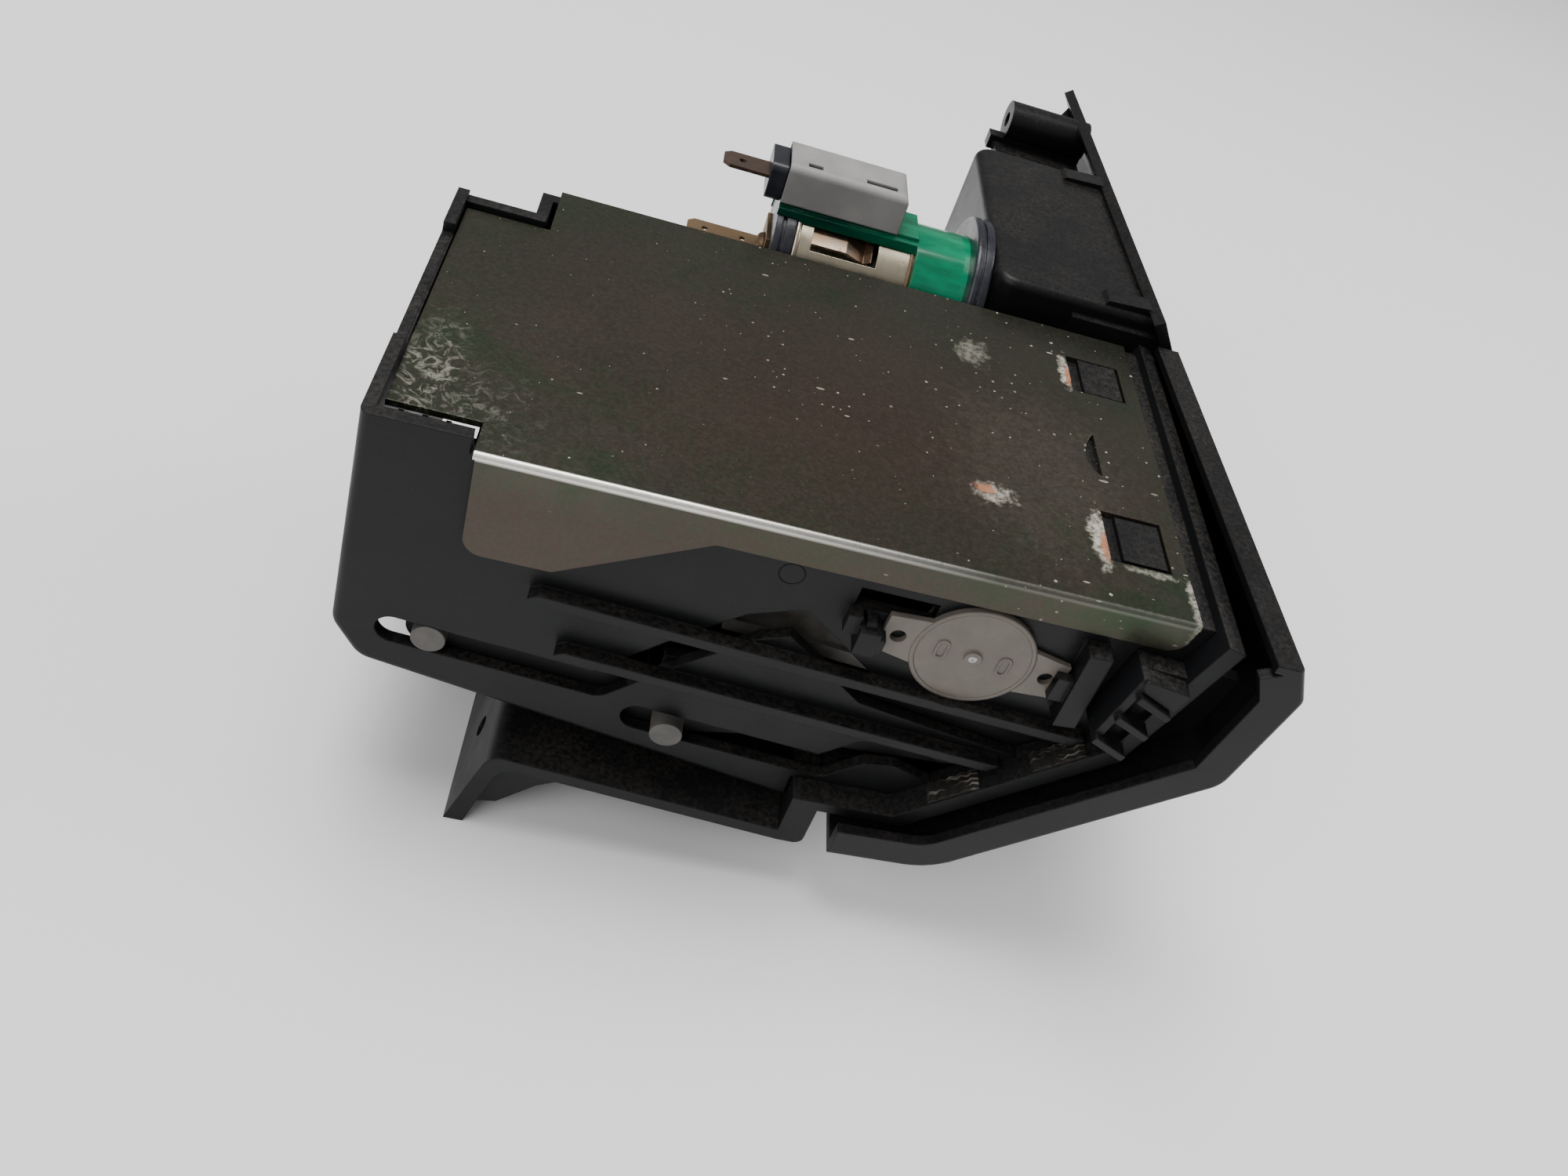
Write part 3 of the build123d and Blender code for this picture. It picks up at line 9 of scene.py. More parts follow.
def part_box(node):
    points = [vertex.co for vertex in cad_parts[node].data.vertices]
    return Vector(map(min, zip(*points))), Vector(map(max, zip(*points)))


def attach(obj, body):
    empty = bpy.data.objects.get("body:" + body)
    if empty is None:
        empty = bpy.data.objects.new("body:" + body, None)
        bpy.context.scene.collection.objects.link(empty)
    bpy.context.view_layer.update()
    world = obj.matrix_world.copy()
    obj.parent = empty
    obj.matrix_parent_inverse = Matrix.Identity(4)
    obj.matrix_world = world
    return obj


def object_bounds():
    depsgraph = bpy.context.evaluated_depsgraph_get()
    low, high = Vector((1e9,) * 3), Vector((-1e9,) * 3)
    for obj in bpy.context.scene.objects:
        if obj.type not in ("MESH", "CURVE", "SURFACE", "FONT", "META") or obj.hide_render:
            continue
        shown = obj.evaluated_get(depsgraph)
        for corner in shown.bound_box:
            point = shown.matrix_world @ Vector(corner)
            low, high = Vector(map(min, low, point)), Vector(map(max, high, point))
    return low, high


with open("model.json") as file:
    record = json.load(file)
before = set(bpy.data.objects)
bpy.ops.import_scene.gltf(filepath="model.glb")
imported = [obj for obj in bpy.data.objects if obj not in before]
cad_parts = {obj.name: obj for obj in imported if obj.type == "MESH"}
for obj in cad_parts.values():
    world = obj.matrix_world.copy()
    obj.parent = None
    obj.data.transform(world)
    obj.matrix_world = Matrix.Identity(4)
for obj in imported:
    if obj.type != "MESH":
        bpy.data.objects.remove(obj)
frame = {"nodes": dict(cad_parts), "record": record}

CAD_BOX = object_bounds()
MM = 0.001

# ---- the CAD's working frame, found from the steel cover ----
COVER_TAIL = 15.5  # how far the cover reaches behind the frame's origin, in millimetres
COVER_SKIN = 1.2  # how far its flange stands outside the housing's near wall
COVER_LOW, COVER_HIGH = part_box("steel_cover")
HOME = Vector((COVER_LOW.x + COVER_TAIL * MM, COVER_LOW.y + COVER_SKIN * MM, COVER_HIGH.z))


def at(x, y, z):
    """A point given in millimetres in the CAD's working frame."""
    return HOME + Vector((x, y, z)) * MM


# ================= node materials =================
BEVEL_SAMPLES = 4


class Look:
    """A Principled material with short names for the nodes it needs."""

    def __init__(self, name, **shader):
        self.material = bpy.data.materials.new(name)
        self.material.use_nodes = True
        self.tree = self.material.node_tree
        self.shader = self.tree.nodes["Principled BSDF"]
        self.place = self.tree.nodes.new("ShaderNodeTexCoord").outputs["Object"]
        for key, value in shader.items():
            self.shader.inputs[key.replace("_", " ")].default_value = value

    def node(self, kind, **settings):
        """A new shader node of a kind, with its settings."""
        made = self.tree.nodes.new("ShaderNode" + kind)
        for key, value in settings.items():
            setattr(made, key, value)
        return made

    def feed(self, socket, value):
        """Links a socket's value, or sets it when it is a plain number or colour."""
        if isinstance(value, bpy.types.NodeSocket):
            self.tree.links.new(value, socket)
        else:
            socket.default_value = value

    def scaled(self, stretch, shift=(0.0, 0.0, 0.0)):
        """Object coordinates, stretched and shifted."""
        mapping = self.node("Mapping")
        self.tree.links.new(self.place, mapping.inputs["Vector"])
        mapping.inputs["Scale"].default_value = stretch
        mapping.inputs["Location"].default_value = shift
        return mapping.outputs["Vector"]

    def noise(self, scale, detail=3.0, roughness=0.55, vector=None, distortion=0.0):
        made = self.node("TexNoise")
        self.tree.links.new(vector or self.place, made.inputs["Vector"])
        made.inputs["Scale"].default_value = scale
        made.inputs["Detail"].default_value = detail
        made.inputs["Roughness"].default_value = roughness
        made.inputs["Distortion"].default_value = distortion
        return made.outputs["Fac"]

    def cells(self, scale, vector=None, colour=False):
        """Voronoi cells: the distance to a cell's middle, or a colour for each cell."""
        made = self.node("TexVoronoi")
        self.tree.links.new(vector or self.place, made.inputs["Vector"])
        made.inputs["Scale"].default_value = scale
        return made.outputs["Color" if colour else "Distance"]

    def maths(self, kind, a, b=0.0):
        made = self.node("Math", operation=kind)
        self.feed(made.inputs[0], a)
        self.feed(made.inputs[1], b)
        return made.outputs[0]

    def spread(self, value, low, high, out_low=0.0, out_high=1.0):
        """Maps low..high onto out_low..out_high, held at the ends."""
        made = self.node("MapRange")
        self.feed(made.inputs["Value"], value)
        made.inputs["From Min"].default_value = low
        made.inputs["From Max"].default_value = high
        made.inputs["To Min"].default_value = out_low
        made.inputs["To Max"].default_value = out_high
        return made.outputs["Result"]

    def mixed(self, share, a, b):
        """Colour a, going over to colour b as share goes from 0 to 1."""
        made = self.node("Mix", data_type="RGBA")
        self.feed(made.inputs["Factor"], share)
        for socket, value in ((made.inputs[6], a), (made.inputs[7], b)):
            self.feed(socket, value if isinstance(value, bpy.types.NodeSocket) else (*value[:3], 1.0))
        return made.outputs[2]

    def facing(self, axis):
        """How far the surface faces along X, Y or Z, from -1 to 1."""
        split = self.node("SeparateXYZ")
        self.tree.links.new(self.node("NewGeometry").outputs["Normal"], split.inputs[0])
        return split.outputs[axis]

    def along(self, axis):
        """The place along X, Y or Z, in metres."""
        split = self.node("SeparateXYZ")
        self.tree.links.new(self.place, split.inputs[0])
        return split.outputs[axis]

    def patch(self, centre, radii, edge=0.35, wobble=0.5, wobble_scale=260.0):
        """1 inside an uneven patch round a point, falling to 0 at its edge."""
        mapping = self.node("Mapping", vector_type="TEXTURE")
        self.tree.links.new(self.place, mapping.inputs["Vector"])
        mapping.inputs["Location"].default_value = centre
        mapping.inputs["Scale"].default_value = [r * MM for r in radii]
        length = self.node("VectorMath", operation="LENGTH")
        self.tree.links.new(mapping.outputs["Vector"], length.inputs[0])
        uneven = self.maths("SUBTRACT", self.noise(wobble_scale, 4.0, 0.65), 0.5)
        ragged = self.maths("MULTIPLY", uneven, wobble * 4.0)
        return self.spread(self.maths("ADD", length.outputs["Value"], ragged), 1.0 + edge, 1.0 - edge)

    def rounded(self, radius):
        """Edges shaded as if rounded."""
        made = self.node("Bevel", samples=BEVEL_SAMPLES)
        made.inputs["Radius"].default_value = radius
        return made.outputs["Normal"]

    def relief(self, height, distance, strength=1.0, normal=None):
        """A bump on top of a normal, its distance in metres."""
        made = self.node("Bump")
        self.feed(made.inputs["Height"], height)
        made.inputs["Distance"].default_value = distance
        made.inputs["Strength"].default_value = strength
        if normal is not None:
            self.tree.links.new(normal, made.inputs["Normal"])
        return made.outputs["Normal"]

    def wear(self, colour=None, roughness=None, normal=None, metallic=None):
        """Links what is given to the shader and hands over the material."""
        for key, value in (("Base Color", colour), ("Roughness", roughness), ("Normal", normal),
                           ("Metallic", metallic)):
            if value is not None:
                self.tree.links.new(value, self.shader.inputs[key])
        return self.material


MOULDED_EDGE = 0.45 * MM
PLATED_EDGE = 0.2 * MM


def black_plastic(name, base, grime, dust, grain=2600.0, gloss=(0.30, 0.52)):
    """Moulded plastic: fine grain, smears, and dust that settles on faces turned up."""
    look = Look(name, IOR=1.46, Specular_IOR_Level=0.22)
    smear = look.noise(38.0, 5.0, 0.6, distortion=0.6)
    fine = look.noise(grain, 2.0, 0.5)
    fleck = look.spread(look.noise(1700.0, 2.0, 0.6), 0.68, 0.74)
    up = look.spread(look.facing("Z"), 0.35, 0.95)
    powder = look.spread(look.noise(1100.0, 5.0, 0.75), 0.40, 0.70)
    patchy = look.spread(look.noise(60.0, 4.0, 0.6), 0.35, 0.65, 0.25, 1.0)
    settled = look.maths("MULTIPLY", look.maths("MULTIPLY", up, powder), patchy)
    share = look.maths("MULTIPLY", settled, dust)
    flecks = look.maths("MULTIPLY", fleck, 0.35 * dust)
    share = look.maths("MINIMUM", look.maths("ADD", share, flecks), 0.8)
    dark = look.mixed(smear, [c * 0.75 for c in base], [c * 1.3 for c in base])
    colour = look.mixed(share, dark, grime)
    scratch = look.noise(420.0, 2.0, 0.4, vector=look.scaled((0.12, 0.12, 1.0)))
    rough = look.maths("ADD", look.spread(smear, 0.3, 0.7, *gloss), look.maths("MULTIPLY", share, 0.35))
    height = look.maths("ADD", fine, look.maths("MULTIPLY", scratch, 0.5))
    normal = look.relief(height, 0.04 * MM, 0.5, look.rounded(MOULDED_EDGE))
    return look.wear(colour, rough, normal)


def plain_plastic(name, base, tint, gloss=(0.35, 0.55), scale=300.0, edge=0.3):
    """Small mouldings: two close tones over a faint grain, edge in millimetres."""
    look = Look(name, IOR=1.47)
    tone = look.noise(scale, 4.0, 0.6)
    colour = look.mixed(look.spread(tone, 0.35, 0.7), base, tint)
    rough = look.spread(tone, 0.3, 0.7, *gloss)
    normal = look.relief(look.noise(2200.0, 2.0), 0.03 * MM, 0.6, look.rounded(edge * MM))
    return look.wear(colour, rough, normal)


def scuffed_rubber():
    """Dark pads with pale scuffs along their length."""
    look = Look("soft_rubber", IOR=1.45, Specular_IOR_Level=0.25)
    strokes = look.noise(1500.0, 2.0, 0.5, vector=look.scaled((0.10, 1.0, 0.10)))
    where = look.spread(look.noise(160.0, 3.0), 0.42, 0.58)
    pale = look.maths("MULTIPLY", look.spread(strokes, 0.52, 0.64), where)
    colour = look.mixed(look.noise(300.0, 4.0), (0.012, 0.011, 0.010), (0.024, 0.021, 0.018))
    colour = look.mixed(look.maths("MULTIPLY", pale, 0.7), colour, (0.26, 0.235, 0.20))
    return look.wear(colour, look.spread(pale, 0.0, 1.0, 0.55, 0.8),
                     look.relief(strokes, 0.05 * MM, 0.5, look.rounded(0.2 * MM)))


def metal(name, base, tint, gloss=(0.22, 0.42), metallic=1.0, stretch=(0.15, 1.0, 1.0), spots=None):
    """Drawn or plated metal: fine lines one way, blotches, and optional tarnish spots."""
    look = Look(name, Metallic=metallic)
    lines = look.noise(900.0, 2.0, 0.5, vector=look.scaled(stretch))
    blotch = look.spread(look.noise(140.0, 5.0, 0.65), 0.38, 0.68)
    colour = look.mixed(blotch, base, tint)
    drawn = look.maths("MULTIPLY", lines, 0.10)
    rough = look.maths("ADD", look.spread(blotch, 0.0, 1.0, *gloss), drawn)
    if spots:
        mark = look.spread(look.noise(420.0, 5.0, 0.75), 0.60, 0.70)
        colour = look.mixed(mark, colour, spots)
        rough = look.maths("ADD", rough, look.maths("MULTIPLY", mark, 0.3))
    return look.wear(colour, rough, look.relief(lines, 0.02 * MM, 0.4, look.rounded(PLATED_EDGE)))


EVEN = (1.0, 1.0, 1.0)


def passivated_steel():
    """The folded cover: dark olive zinc with green and wine-red bloom, specks, crust and rust."""
    look = Look("passivated_steel", Metallic=0.8)
    broad = look.noise(17.0, 3.0, 0.55, distortion=0.8)
    moved = look.scaled(EVEN, (0.31, 0.12, 0.4))
    second = look.noise(33.0, 3.0, 0.6, vector=moved, distortion=0.6)
    colour = look.mixed(look.spread(broad, 0.40, 0.62), (0.062, 0.057, 0.043), (0.044, 0.047, 0.034))
    colour = look.mixed(look.spread(second, 0.50, 0.70), colour, (0.030, 0.052, 0.026))
    wine = look.maths("MULTIPLY", look.patch(at(66, 30, 0), (36.0, 24.0, 60.0), 0.8, 0.5, 30.0), 0.6)
    colour = look.mixed(wine, colour, (0.085, 0.043, 0.037))
    rear_wine = look.patch(at(14, 50, 0), (16.0, 26.0, 60.0), 0.8, 0.6, 40.0)
    rear_wine = look.maths("MULTIPLY", rear_wine, 0.35)
    colour = look.mixed(rear_wine, colour, (0.075, 0.045, 0.040))
    low = look.spread(look.along("Z"), at(0, 0, -3.0).z, at(0, 0, -9.0).z)
    colour = look.mixed(look.maths("MULTIPLY", low, 0.65), colour, (0.058, 0.037, 0.033))
    # a fine mottle over everything, with coloured grains
    mottle = look.spread(look.noise(1300.0, 3.0, 0.7), 0.35, 0.75)
    grain = look.cells(900.0, colour=True)
    colour = look.mixed(look.maths("MULTIPLY", mottle, 0.20), colour, (0.11, 0.105, 0.085))
    colour = look.mixed(0.10, colour, look.mixed(grain, (0.02, 0.10, 0.03), (0.13, 0.05, 0.06)))
    # white specks, thicker towards the front, some drawn out into flecks
    thick = look.spread(look.noise(24.0, 2.0), 0.35, 0.65, 0.35, 1.0)
    front = look.spread(look.along("X"), at(0, 0, 0).x, at(95, 0, 0).x, 0.5, 1.0)
    amount = look.maths("MULTIPLY", thick, front)
    specks = None
    for scale, stretch, low_end, top in (
            (620.0, EVEN, 0.52, 0.34), (240.0, EVEN, 0.62, 0.13),
            (460.0, (0.35, 1.0, 1.0), 0.60, 0.26), (80.0, EVEN, 0.74, 0.055)):
        vector = look.scaled(stretch, (0.013 * scale, 0.0, 0.0))
        chance = look.spread(look.cells(scale, vector, True), low_end, 0.95, 0.0, top)
        one = look.spread(look.maths("SUBTRACT", look.maths("MULTIPLY", chance, amount),
                                     look.cells(scale, vector)), 0.0, 0.03)
        specks = one if specks is None else look.maths("MAXIMUM", specks, one)
    specks = look.maths("MULTIPLY", specks, look.spread(look.noise(260.0, 2.0), 0.3, 0.7, 0.25, 0.75))
    specks = look.maths("MULTIPLY", specks, look.spread(low, 0.0, 1.0, 1.0, 0.25))
    # crust: round the hook windows, the haze, the rust spot and the front corner
    crust = None
    for centre, radii, strength in (
            (at(108.4, 16.2, 0), (1.7, 6.8, 3.0), 1.0), (at(108.6, 69.3, 0), (1.1, 5.6, 3.0), 0.95),
            (at(88, 67, 0), (3.2, 4.2, 3.0), 0.40), (at(88.8, 21.8, 0), (3.4, 2.4, 3.0), 0.75),
            (at(124.6, 4.5, -1), (1.0, 6.0, 5.0), 0.70), (at(118, 9.9, 0), (5.0, 0.8, 3.0), 0.50),
            (at(98, 31, 0), (16.0, 22.0, 3.0), 0.05)):
        one = look.maths("MULTIPLY", look.patch(centre, radii, 0.35, 0.7, 500.0), strength)
        crust = one if crust is None else look.maths("MAXIMUM", crust, one)
    ragged = look.spread(look.noise(900.0, 5.0, 0.75), 0.40, 0.56)
    crust = look.maths("MULTIPLY", crust, look.maths("ADD", look.maths("MULTIPLY", ragged, 0.7), 0.3))
    # thin branching bloom on the rear corner
    corner = look.maths("MAXIMUM", look.patch(at(-11.5, 17, 0), (5.0, 15.0, 3.0), 0.5, 0.5, 120.0),
                        look.maths("MULTIPLY", look.patch(at(-3, 10, 0), (8.0, 9.0, 3.0), 0.6), 0.5))
    branch = look.spread(look.noise(330.0, 6.0, 0.72, distortion=1.6), 0.50, 0.62)
    bloom = look.maths("MULTIPLY", look.maths("MULTIPLY", corner, branch), 0.42)
    white = look.maths("MAXIMUM", look.maths("MAXIMUM", specks, crust), bloom)
    colour = look.mixed(white, colour, (0.47, 0.44, 0.37))
    # a painted highlight along the bend, bright over its rear half and fading towards the front
    over = look.spread(look.along("Y"), at(0, -0.15, 0).y, at(0, -0.55, 0).y)
    under = look.spread(look.along("Z"), at(0, 0, -1.5).z, at(0, 0, -0.9).z)
    rear_half = look.spread(look.along("X"), at(88, 0, 0).x, at(35, 0, 0).x, 0.10, 0.95)
    painted_bend_highlight = look.maths("MULTIPLY", look.maths("MULTIPLY", over, under), rear_half)
    colour = look.mixed(painted_bend_highlight, colour, (0.78, 0.76, 0.70))
    rust = None
    for centre, radii in ((at(87.2, 22.6, 0), (2.0, 1.3, 3.0)), (at(109.3, 14.6, 0), (0.9, 3.6, 3.0)),
                          (at(109.3, 68.0, 0), (0.6, 3.4, 3.0))):
        one = look.patch(centre, radii, 0.3, 0.6, 700.0)
        rust = one if rust is None else look.maths("MAXIMUM", rust, one)
    rust = look.maths("MULTIPLY", rust, 0.85)
    colour = look.mixed(rust, colour, (0.36, 0.13, 0.06))
    dull = look.maths("MAXIMUM", white, rust)
    matt = look.maths("MULTIPLY", dull, 0.4)
    rough = look.maths("ADD", look.spread(mottle, 0.0, 1.0, 0.30, 0.42), matt)
    gleam = look.spread(dull, 0.0, 1.0, 0.80, 0.05)
    scratch = look.noise(600.0, 2.0, 0.5, vector=look.scaled((0.10, 1.0, 1.0)))
    height = look.maths("ADD", look.maths("MULTIPLY", dull, 1.6), look.maths("MULTIPLY", scratch, 0.35))
    normal = look.relief(height, 0.06 * MM, 0.7, look.rounded(0.25 * MM))
    return look.wear(colour, rough, normal, gleam)


def green_guide():
    """Tinted clear plastic, its colour going from a dark painted shade at the rear to a bright painted
    highlight towards the mouth.
    """
    look = Look("green_light_guide", Roughness=0.14, IOR=1.49, Transmission_Weight=0.28)
    streak = look.noise(260.0, 3.0, 0.6, vector=look.scaled((0.25, 1.0, 1.0)))
    # painted shade at the rear and painted highlight towards the mouth, mixed along X
    lit_towards_mouth = look.spread(look.along("X"), at(60, 0, 0).x, at(93, 0, 0).x)
    painted_shade_green = look.mixed(look.spread(streak, 0.35, 0.7), (0.000, 0.045, 0.026), (0.002, 0.100, 0.055))
    painted_highlight_green = look.mixed(look.spread(streak, 0.3, 0.75), (0.000, 0.200, 0.090), (0.000, 0.460, 0.220))
    colour = look.mixed(lit_towards_mouth, painted_shade_green, painted_highlight_green)
    return look.wear(colour, None, look.relief(streak, 0.03 * MM, 0.5, look.rounded(0.4 * MM)))


def lamp_glass():
    """The bulb's clear glass."""
    look = Look("lamp_glass", Roughness=0.04, IOR=1.45, Transmission_Weight=0.9)
    tone = look.noise(300.0, 2.0)
    colour = look.mixed(tone, (0.85, 0.85, 0.80), (0.95, 0.94, 0.88))
    return look.wear(colour, None, look.relief(tone, 0.01 * MM, 0.2))


BLACK = (0.0062, 0.0064, 0.0072)
DUST = (0.078, 0.068, 0.055)
LOOKS = {
    "housing_plastic": black_plastic("housing_plastic", BLACK, DUST, 0.55),
    "front_plastic": black_plastic("front_plastic", (0.0052, 0.0052, 0.0058), DUST, 0.35, 3200.0,
                                   (0.26, 0.44)),
    "carriage_plastic": black_plastic("carriage_plastic", (0.009, 0.009, 0.009), (0.05, 0.044, 0.037), 0.40,
                                      2400.0, (0.42, 0.6)),
    "soft_rubber": scuffed_rubber(),
    "damper_plastic": plain_plastic("damper_plastic", (0.118, 0.100, 0.084), (0.150, 0.130, 0.111),
                                    (0.40, 0.55), 220.0, 0.25),
    "white_nylon": plain_plastic("white_nylon", (0.052, 0.048, 0.042), (0.085, 0.078, 0.068)),
    "grey_plastic": plain_plastic("grey_plastic", (0.060, 0.055, 0.051), (0.095, 0.088, 0.080), (0.45, 0.6)),
    "spring_steel": metal("spring_steel", (0.42, 0.42, 0.42), (0.30, 0.29, 0.28)),
    "bin_steel": metal("bin_steel", (0.085, 0.083, 0.080), (0.055, 0.053, 0.050), (0.40, 0.60),
                       spots=(0.035, 0.030, 0.026)),
    "nickel_shell": metal("nickel_shell", (0.56, 0.49, 0.37), (0.42, 0.37, 0.28), (0.22, 0.36),
                          stretch=(1.0, 0.2, 0.2), spots=(0.30, 0.24, 0.17)),
    "insulator_plastic": plain_plastic("insulator_plastic", (0.012, 0.013, 0.018), (0.022, 0.023, 0.030),
                                       (0.20, 0.36), 200.0, 0.5),
    "brass_contact": metal("brass_contact", (0.27, 0.18, 0.10), (0.18, 0.12, 0.070), (0.38, 0.55),
                           0.85, spots=(0.13, 0.085, 0.05)),
    "bronze_clip": metal("bronze_clip", (0.33, 0.26, 0.20), (0.42, 0.24, 0.13), (0.25, 0.42),
                         spots=(0.25, 0.10, 0.05)),
    "bronze_terminal": metal("bronze_terminal", (0.105, 0.070, 0.052), (0.070, 0.048, 0.038),
                             (0.40, 0.55), 0.7, spots=(0.05, 0.032, 0.025)),
    "green_light_guide": green_guide(),
    "white_shade": plain_plastic("white_shade", (0.235, 0.230, 0.225), (0.300, 0.295, 0.285),
                                 (0.40, 0.55), 90.0, 0.5),
    "lamp_glass": lamp_glass(),
    "knob_plastic": plain_plastic("knob_plastic", (0.010, 0.010, 0.011), (0.018, 0.018, 0.019), (0.12, 0.25)),
    "passivated_steel": passivated_steel(),
}
SLOT_OF = {entry["node"]: entry["material_slot"] for entry in frame["record"]["subparts"]}
for name, shown in frame["nodes"].items():
    shown.data.materials.clear()
    shown.data.materials.append(LOOKS[SLOT_OF[name]])


# ================= detail pieces =================
def piece(name, mesh_maker, body, slot_name, material=None):
    """A new object from mesh code, in place in the row frame, riding on a CAD body."""
    mesh = bpy.data.meshes.new(name)
    bm = bmesh.new()
    mesh_maker(bm)
    bmesh.ops.recalc_face_normals(bm, faces=bm.faces)
    bm.to_mesh(mesh)
    bm.free()
    made = bpy.data.objects.new(name, mesh)
    bpy.context.scene.collection.objects.link(made)
    for polygon in mesh.polygons:
        polygon.use_smooth = True
    mesh.materials.append(material or LOOKS[slot_name])
    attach(made, body)


def ring_of(bm, points):
    return [bm.verts.new(p) for p in points]


def bridge(bm, rings):
    """Quads between each closed ring of vertices and the next."""
    for a, b in zip(rings, rings[1:]):
        for i in range(len(a)):
            j = (i + 1) % len(a)
            bm.faces.new((a[i], a[j], b[j], b[i]))


def skin(bm, rings):
    """Quads between one ring of points and the next, with the ends closed."""
    made = [ring_of(bm, ring) for ring in rings]
    bridge(bm, made)
    bm.faces.new(made[0])
    bm.faces.new(made[-1])


def lathe(bm, rings):
    """Quads round a closed run of rings of points."""
    made = [ring_of(bm, ring) for ring in rings]
    bridge(bm, made + made[:1])


def circle(sides):
    """Cosine and sine at even steps round a circle."""
    return [(math.cos(2 * math.pi * k / sides), math.sin(2 * math.pi * k / sides)) for k in range(sides)]


def lathe_x(bm, profile, y, z, sides):
    """A closed profile of (x, radius) points turned about a line along X."""
    lathe(bm, [[at(x, y + radius * c, z + radius * s) for c, s in circle(sides)]
               for x, radius in profile])


def lathe_y(bm, profile, x, z, sides):
    """A closed profile of (y, radius) points turned about a line along Y."""
    lathe(bm, [[at(x + radius * c, y, z + radius * s) for c, s in circle(sides)]
               for y, radius in profile])


def tube(bm, path, radius, sides):
    """A round wire along a run of points."""
    rings = []
    for i, p in enumerate(path):
        ahead = path[min(i + 1, len(path) - 1)] - path[max(i - 1, 0)]
        ahead.normalize()
        side = ahead.orthogonal() if not rings else (side - ahead * side.dot(ahead))
        side.normalize()
        up = ahead.cross(side)
        rings.append([p + (side * c + up * s) * radius for c, s in circle(sides)])
    skin(bm, rings)


# ---- socket ----
SHELL_LOW, SHELL_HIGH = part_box("socket_shell")
SOCKET_AXIS = (SHELL_LOW + SHELL_HIGH) / 2
AXIS_Y = (SOCKET_AXIS.y - HOME.y) / MM
AXIS_Z = (SOCKET_AXIS.z - HOME.z) / MM
SHELL_R = 11.3
SUNK = -0.02  # how far a piece's foot lies under the surface it stands on
BEAD = ((76.1, SUNK), (76.3, 0.22), (76.7, 0.26), (76.95, 0.16), (76.95, SUNK))
ROLL = ((50.05, SUNK), (50.15, 0.28), (50.6, 0.38), (51.1, 0.25), (51.4, SUNK))
RIVET = ((43.1, 0.02), (43.2, 1.7), (43.6, 2.3), (44.5, 2.6), (44.6, 2.6), (44.6, 0.02))


def on_shell(profile):
    """A maker for a ring on the socket shell, from (x, rise above the shell) points."""
    points = [(x, SHELL_R + rise) for x, rise in profile]
    return lambda bm: lathe_x(bm, points, AXIS_Y, AXIS_Z, 96)


varnish = metal("lacquer_edge", (0.20, 0.12, 0.06), (0.10, 0.065, 0.04), (0.35, 0.5), 0.3)
piece("shell_edge_bead", on_shell(BEAD), "housing", "nickel_shell", varnish)
piece("shell_rear_roll", on_shell(ROLL), "housing", "nickel_shell")
piece("centre_rivet_head", lambda bm: lathe_x(bm, RIVET, AXIS_Y, AXIS_Z, 28), "housing",
      "brass_contact")

# ---- lamp: a fine coil held between two leads ----
LAMP_Y = AXIS_Y + 1.0
LAMP_Z = AXIS_Z + SHELL_R + 5.6
COIL_X = 56.2
COIL_HALF = 1.3
COIL_R = 0.35
COIL_ANGLE = 40.0  # radians from one end of the coil to the other
COIL_POINTS = 60
COIL_WIRE_R = 0.05 * MM
LEAD_WIRE_R = 0.11 * MM
LEAD = ((53.0, 0.6), (54.2, 0.8), (55.4, 1.0), (COIL_X, 1.0))  # x, and share of the coil's half length


def filament(bm):
    path = []
    for k in range(COIL_POINTS):
        t = k / (COIL_POINTS - 1)
        path.append(at(COIL_X + COIL_R * math.cos(t * COIL_ANGLE), LAMP_Y - COIL_HALF + 2 * COIL_HALF * t,
                       LAMP_Z + COIL_R * math.sin(t * COIL_ANGLE)))
    tube(bm, path, COIL_WIRE_R, 6)
    for side in (-COIL_HALF, COIL_HALF):
        tube(bm, [at(x, LAMP_Y + side * share, LAMP_Z) for x, share in LEAD], LEAD_WIRE_R, 6)


piece("lamp_filament", filament, "housing", "spring_steel")

# ---- lighter: a flat resistance strip wound into the cup ----
SPIRAL_TURNS = 4.5
SPIRAL_POINTS = 150
SPIRAL_INNER_R, SPIRAL_GROWTH = 1.6, 4.2
STRIP = ((67.0, -0.12), (67.0, 0.12), (68.3, 0.12), (68.3, -0.12))  # x, and half thickness


def heater_spiral(bm):
    rings = []
    for k in range(SPIRAL_POINTS):
        t = k / (SPIRAL_POINTS - 1)
        a = 2 * math.pi * SPIRAL_TURNS * t
        r = SPIRAL_INNER_R + SPIRAL_GROWTH * t
        rings.append([at(x, AXIS_Y + (r + dr) * math.cos(a), AXIS_Z + (r + dr) * math.sin(a))
                      for x, dr in STRIP])
    skin(bm, rings)


piece("heater_spiral", heater_spiral, "lighter_knob", "bin_steel")

# ---- damper plate: raised rim and a domed shaft end ----
PLATE_LOW, PLATE_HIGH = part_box("damper_plate")
DAMPER_X = ((PLATE_LOW + PLATE_HIGH).x / 2 - HOME.x) / MM
DAMPER_Z = ((PLATE_LOW + PLATE_HIGH).z / 2 - HOME.z) / MM
PLATE_FACE = -1.2  # the plate's outer face along Y
RIM = ((0.02, 10.3), (-0.10, 10.45), (-0.12, 10.9), (-0.08, 11.25), (0.02, 11.35))
SHAFT_END = ((-0.3, 0.02), (-0.62, 0.02), (-0.58, 0.6), (-0.45, 0.95), (-0.3, 1.0))


def on_plate(profile, sides):
    """A maker for a turned piece on the damper plate, from (y off its face, radius) points."""
    points = [(PLATE_FACE + y, radius) for y, radius in profile]
    return lambda bm: lathe_y(bm, points, DAMPER_X, DAMPER_Z, sides)


piece("damper_rim", on_plate(RIM, 80), "housing", "damper_plastic")
piece("damper_shaft_end", on_plate(SHAFT_END, 32), "housing", "spring_steel")

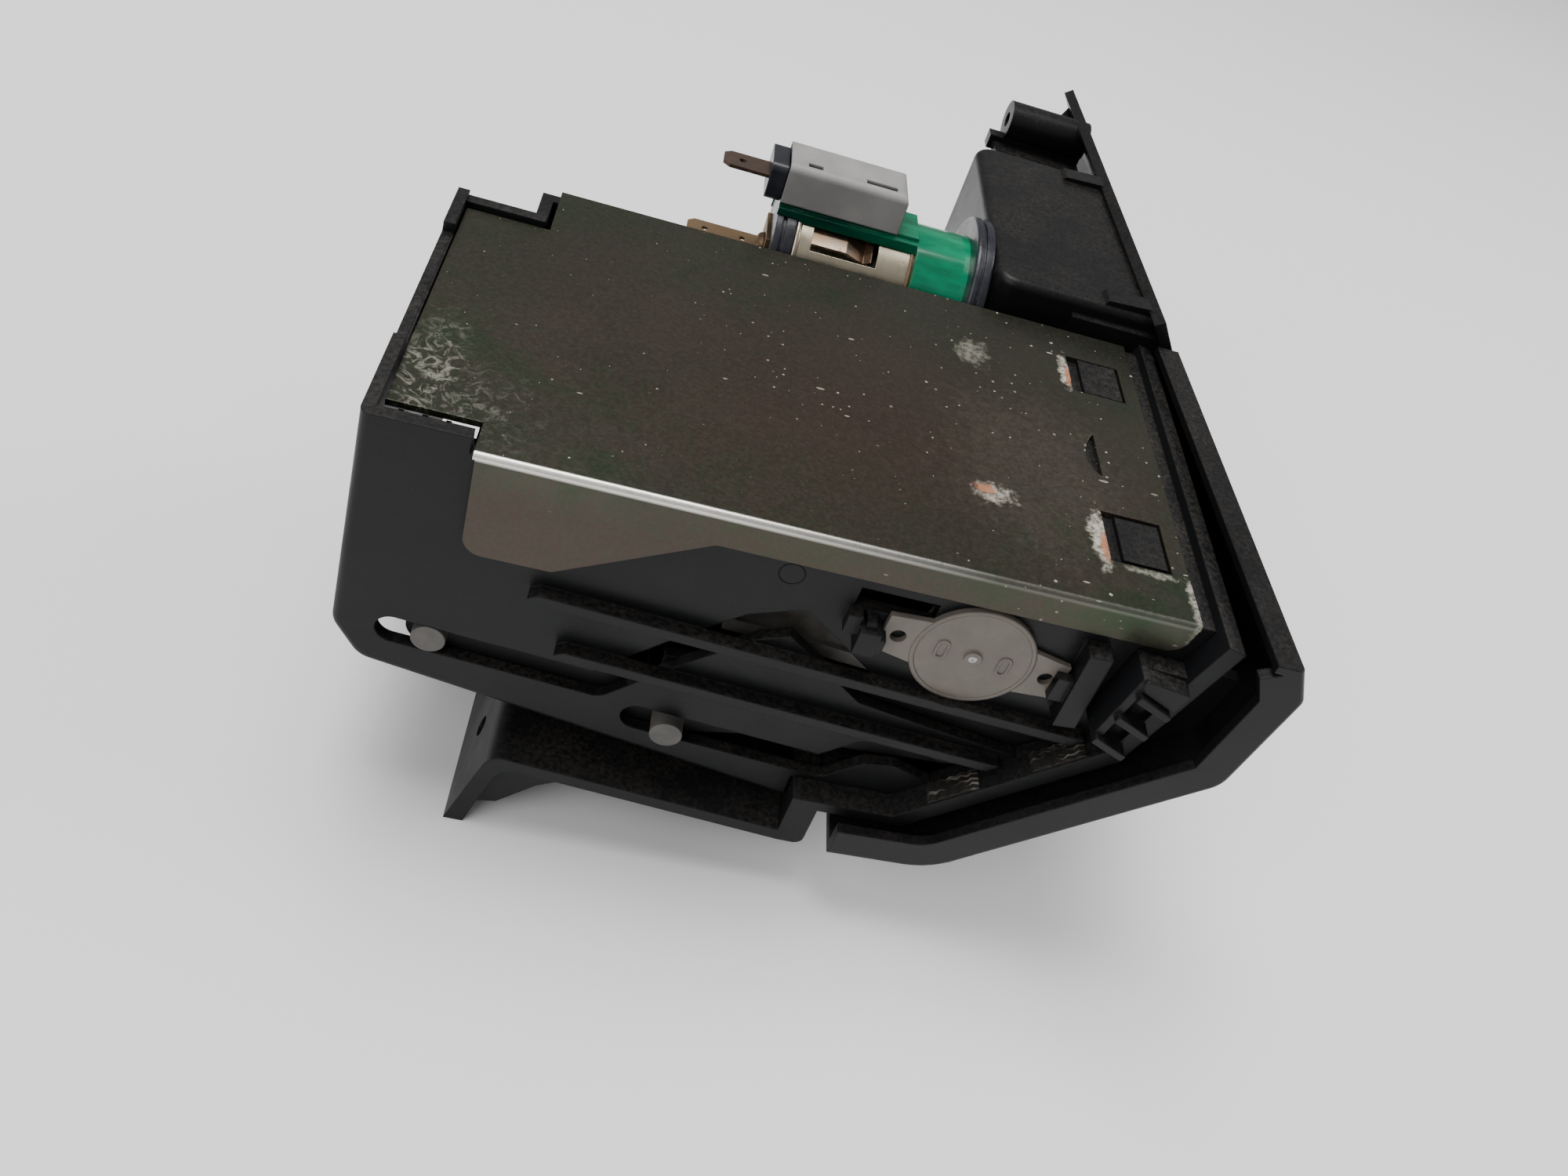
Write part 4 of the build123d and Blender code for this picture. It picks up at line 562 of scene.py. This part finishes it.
# ---- moulding mark on the housing's near wall ----
MARK_X, MARK_Z = 54.6, -10.4
MARK = ((0.02, 2.1), (-0.05, 2.2), (-0.06, 2.32), (0.02, 2.42))
piece("ejector_mark_0", lambda bm: lathe_y(bm, MARK, MARK_X, MARK_Z, 40), "housing",
      "housing_plastic")

# ================= floor, light, camera =================
FLOOR_HALF = 4.0


def floor_mesh(bm):
    corners = ((-1, -1), (1, -1), (1, 1), (-1, 1))
    bm.faces.new([bm.verts.new((sx * FLOOR_HALF, sy * FLOOR_HALF, CAD_BOX[0][2])) for sx, sy in corners])


floor_data = bpy.data.meshes.new("floor")
floor_bm = bmesh.new()
floor_mesh(floor_bm)
floor_bm.to_mesh(floor_data)
floor_bm.free()
floor = bpy.data.objects.new("floor", floor_data)
bpy.context.scene.collection.objects.link(floor)
paper = Look("pale_paper", Roughness=0.85)
floor_data.materials.append(paper.wear(
    paper.mixed(paper.noise(3.0, 2.0), (0.93, 0.93, 0.93), (0.95, 0.95, 0.95))))


def lamp(name, place, aim, size, power):
    """A square soft light: size in metres, power in watts."""
    data = bpy.data.lights.new(name, "AREA")
    data.size = size
    data.energy = power
    made = bpy.data.objects.new(name, data)
    made.location = place
    made.rotation_euler = (aim - place).to_track_quat("-Z", "Y").to_euler()
    bpy.context.scene.collection.objects.link(made)


MIDDLE = at(60, 60, -20)
lamp("overhead_soft", at(-165, 240, 1430), MIDDLE, size=0.85, power=24.0)
lamp("front_soft", at(-900, -1100, 1100), MIDDLE, size=1.2, power=15.0)
lamp("side_soft", at(1250, 350, 800), MIDDLE, size=0.7, power=8.0)

ROOM_STRENGTH = 0.30
world = bpy.data.worlds.new("soft_room")
world.use_nodes = True
background = world.node_tree.nodes["Background"]
background.inputs["Color"].default_value = (1.0, 1.0, 1.0, 1.0)
background.inputs["Strength"].default_value = ROOM_STRENGTH
bpy.context.scene.world = world

SENSOR_WIDTH = 36.0  # millimetres, as is the lens
LENS = 30.31
NEAREST = 0.01  # metres
CAMERA_PLACE = at(16.3, -163.0, 135.0)
camera_data = bpy.data.cameras.new("camera")
camera_data.sensor_width = SENSOR_WIDTH
camera_data.lens = LENS
camera_data.clip_start = NEAREST
camera = bpy.data.objects.new("camera", camera_data)
RIGHT = Vector((0.9604, 0.0298, 0.2769))
UP = Vector((-0.2213, 0.6853, 0.6938))
BACK = RIGHT.cross(UP).normalized()
UP = BACK.cross(RIGHT).normalized()
turn = Matrix((RIGHT.normalized(), UP, BACK)).transposed().to_4x4()
camera.matrix_world = Matrix.Translation(CAMERA_PLACE) @ turn
bpy.context.scene.collection.objects.link(camera)
bpy.context.scene.camera = camera
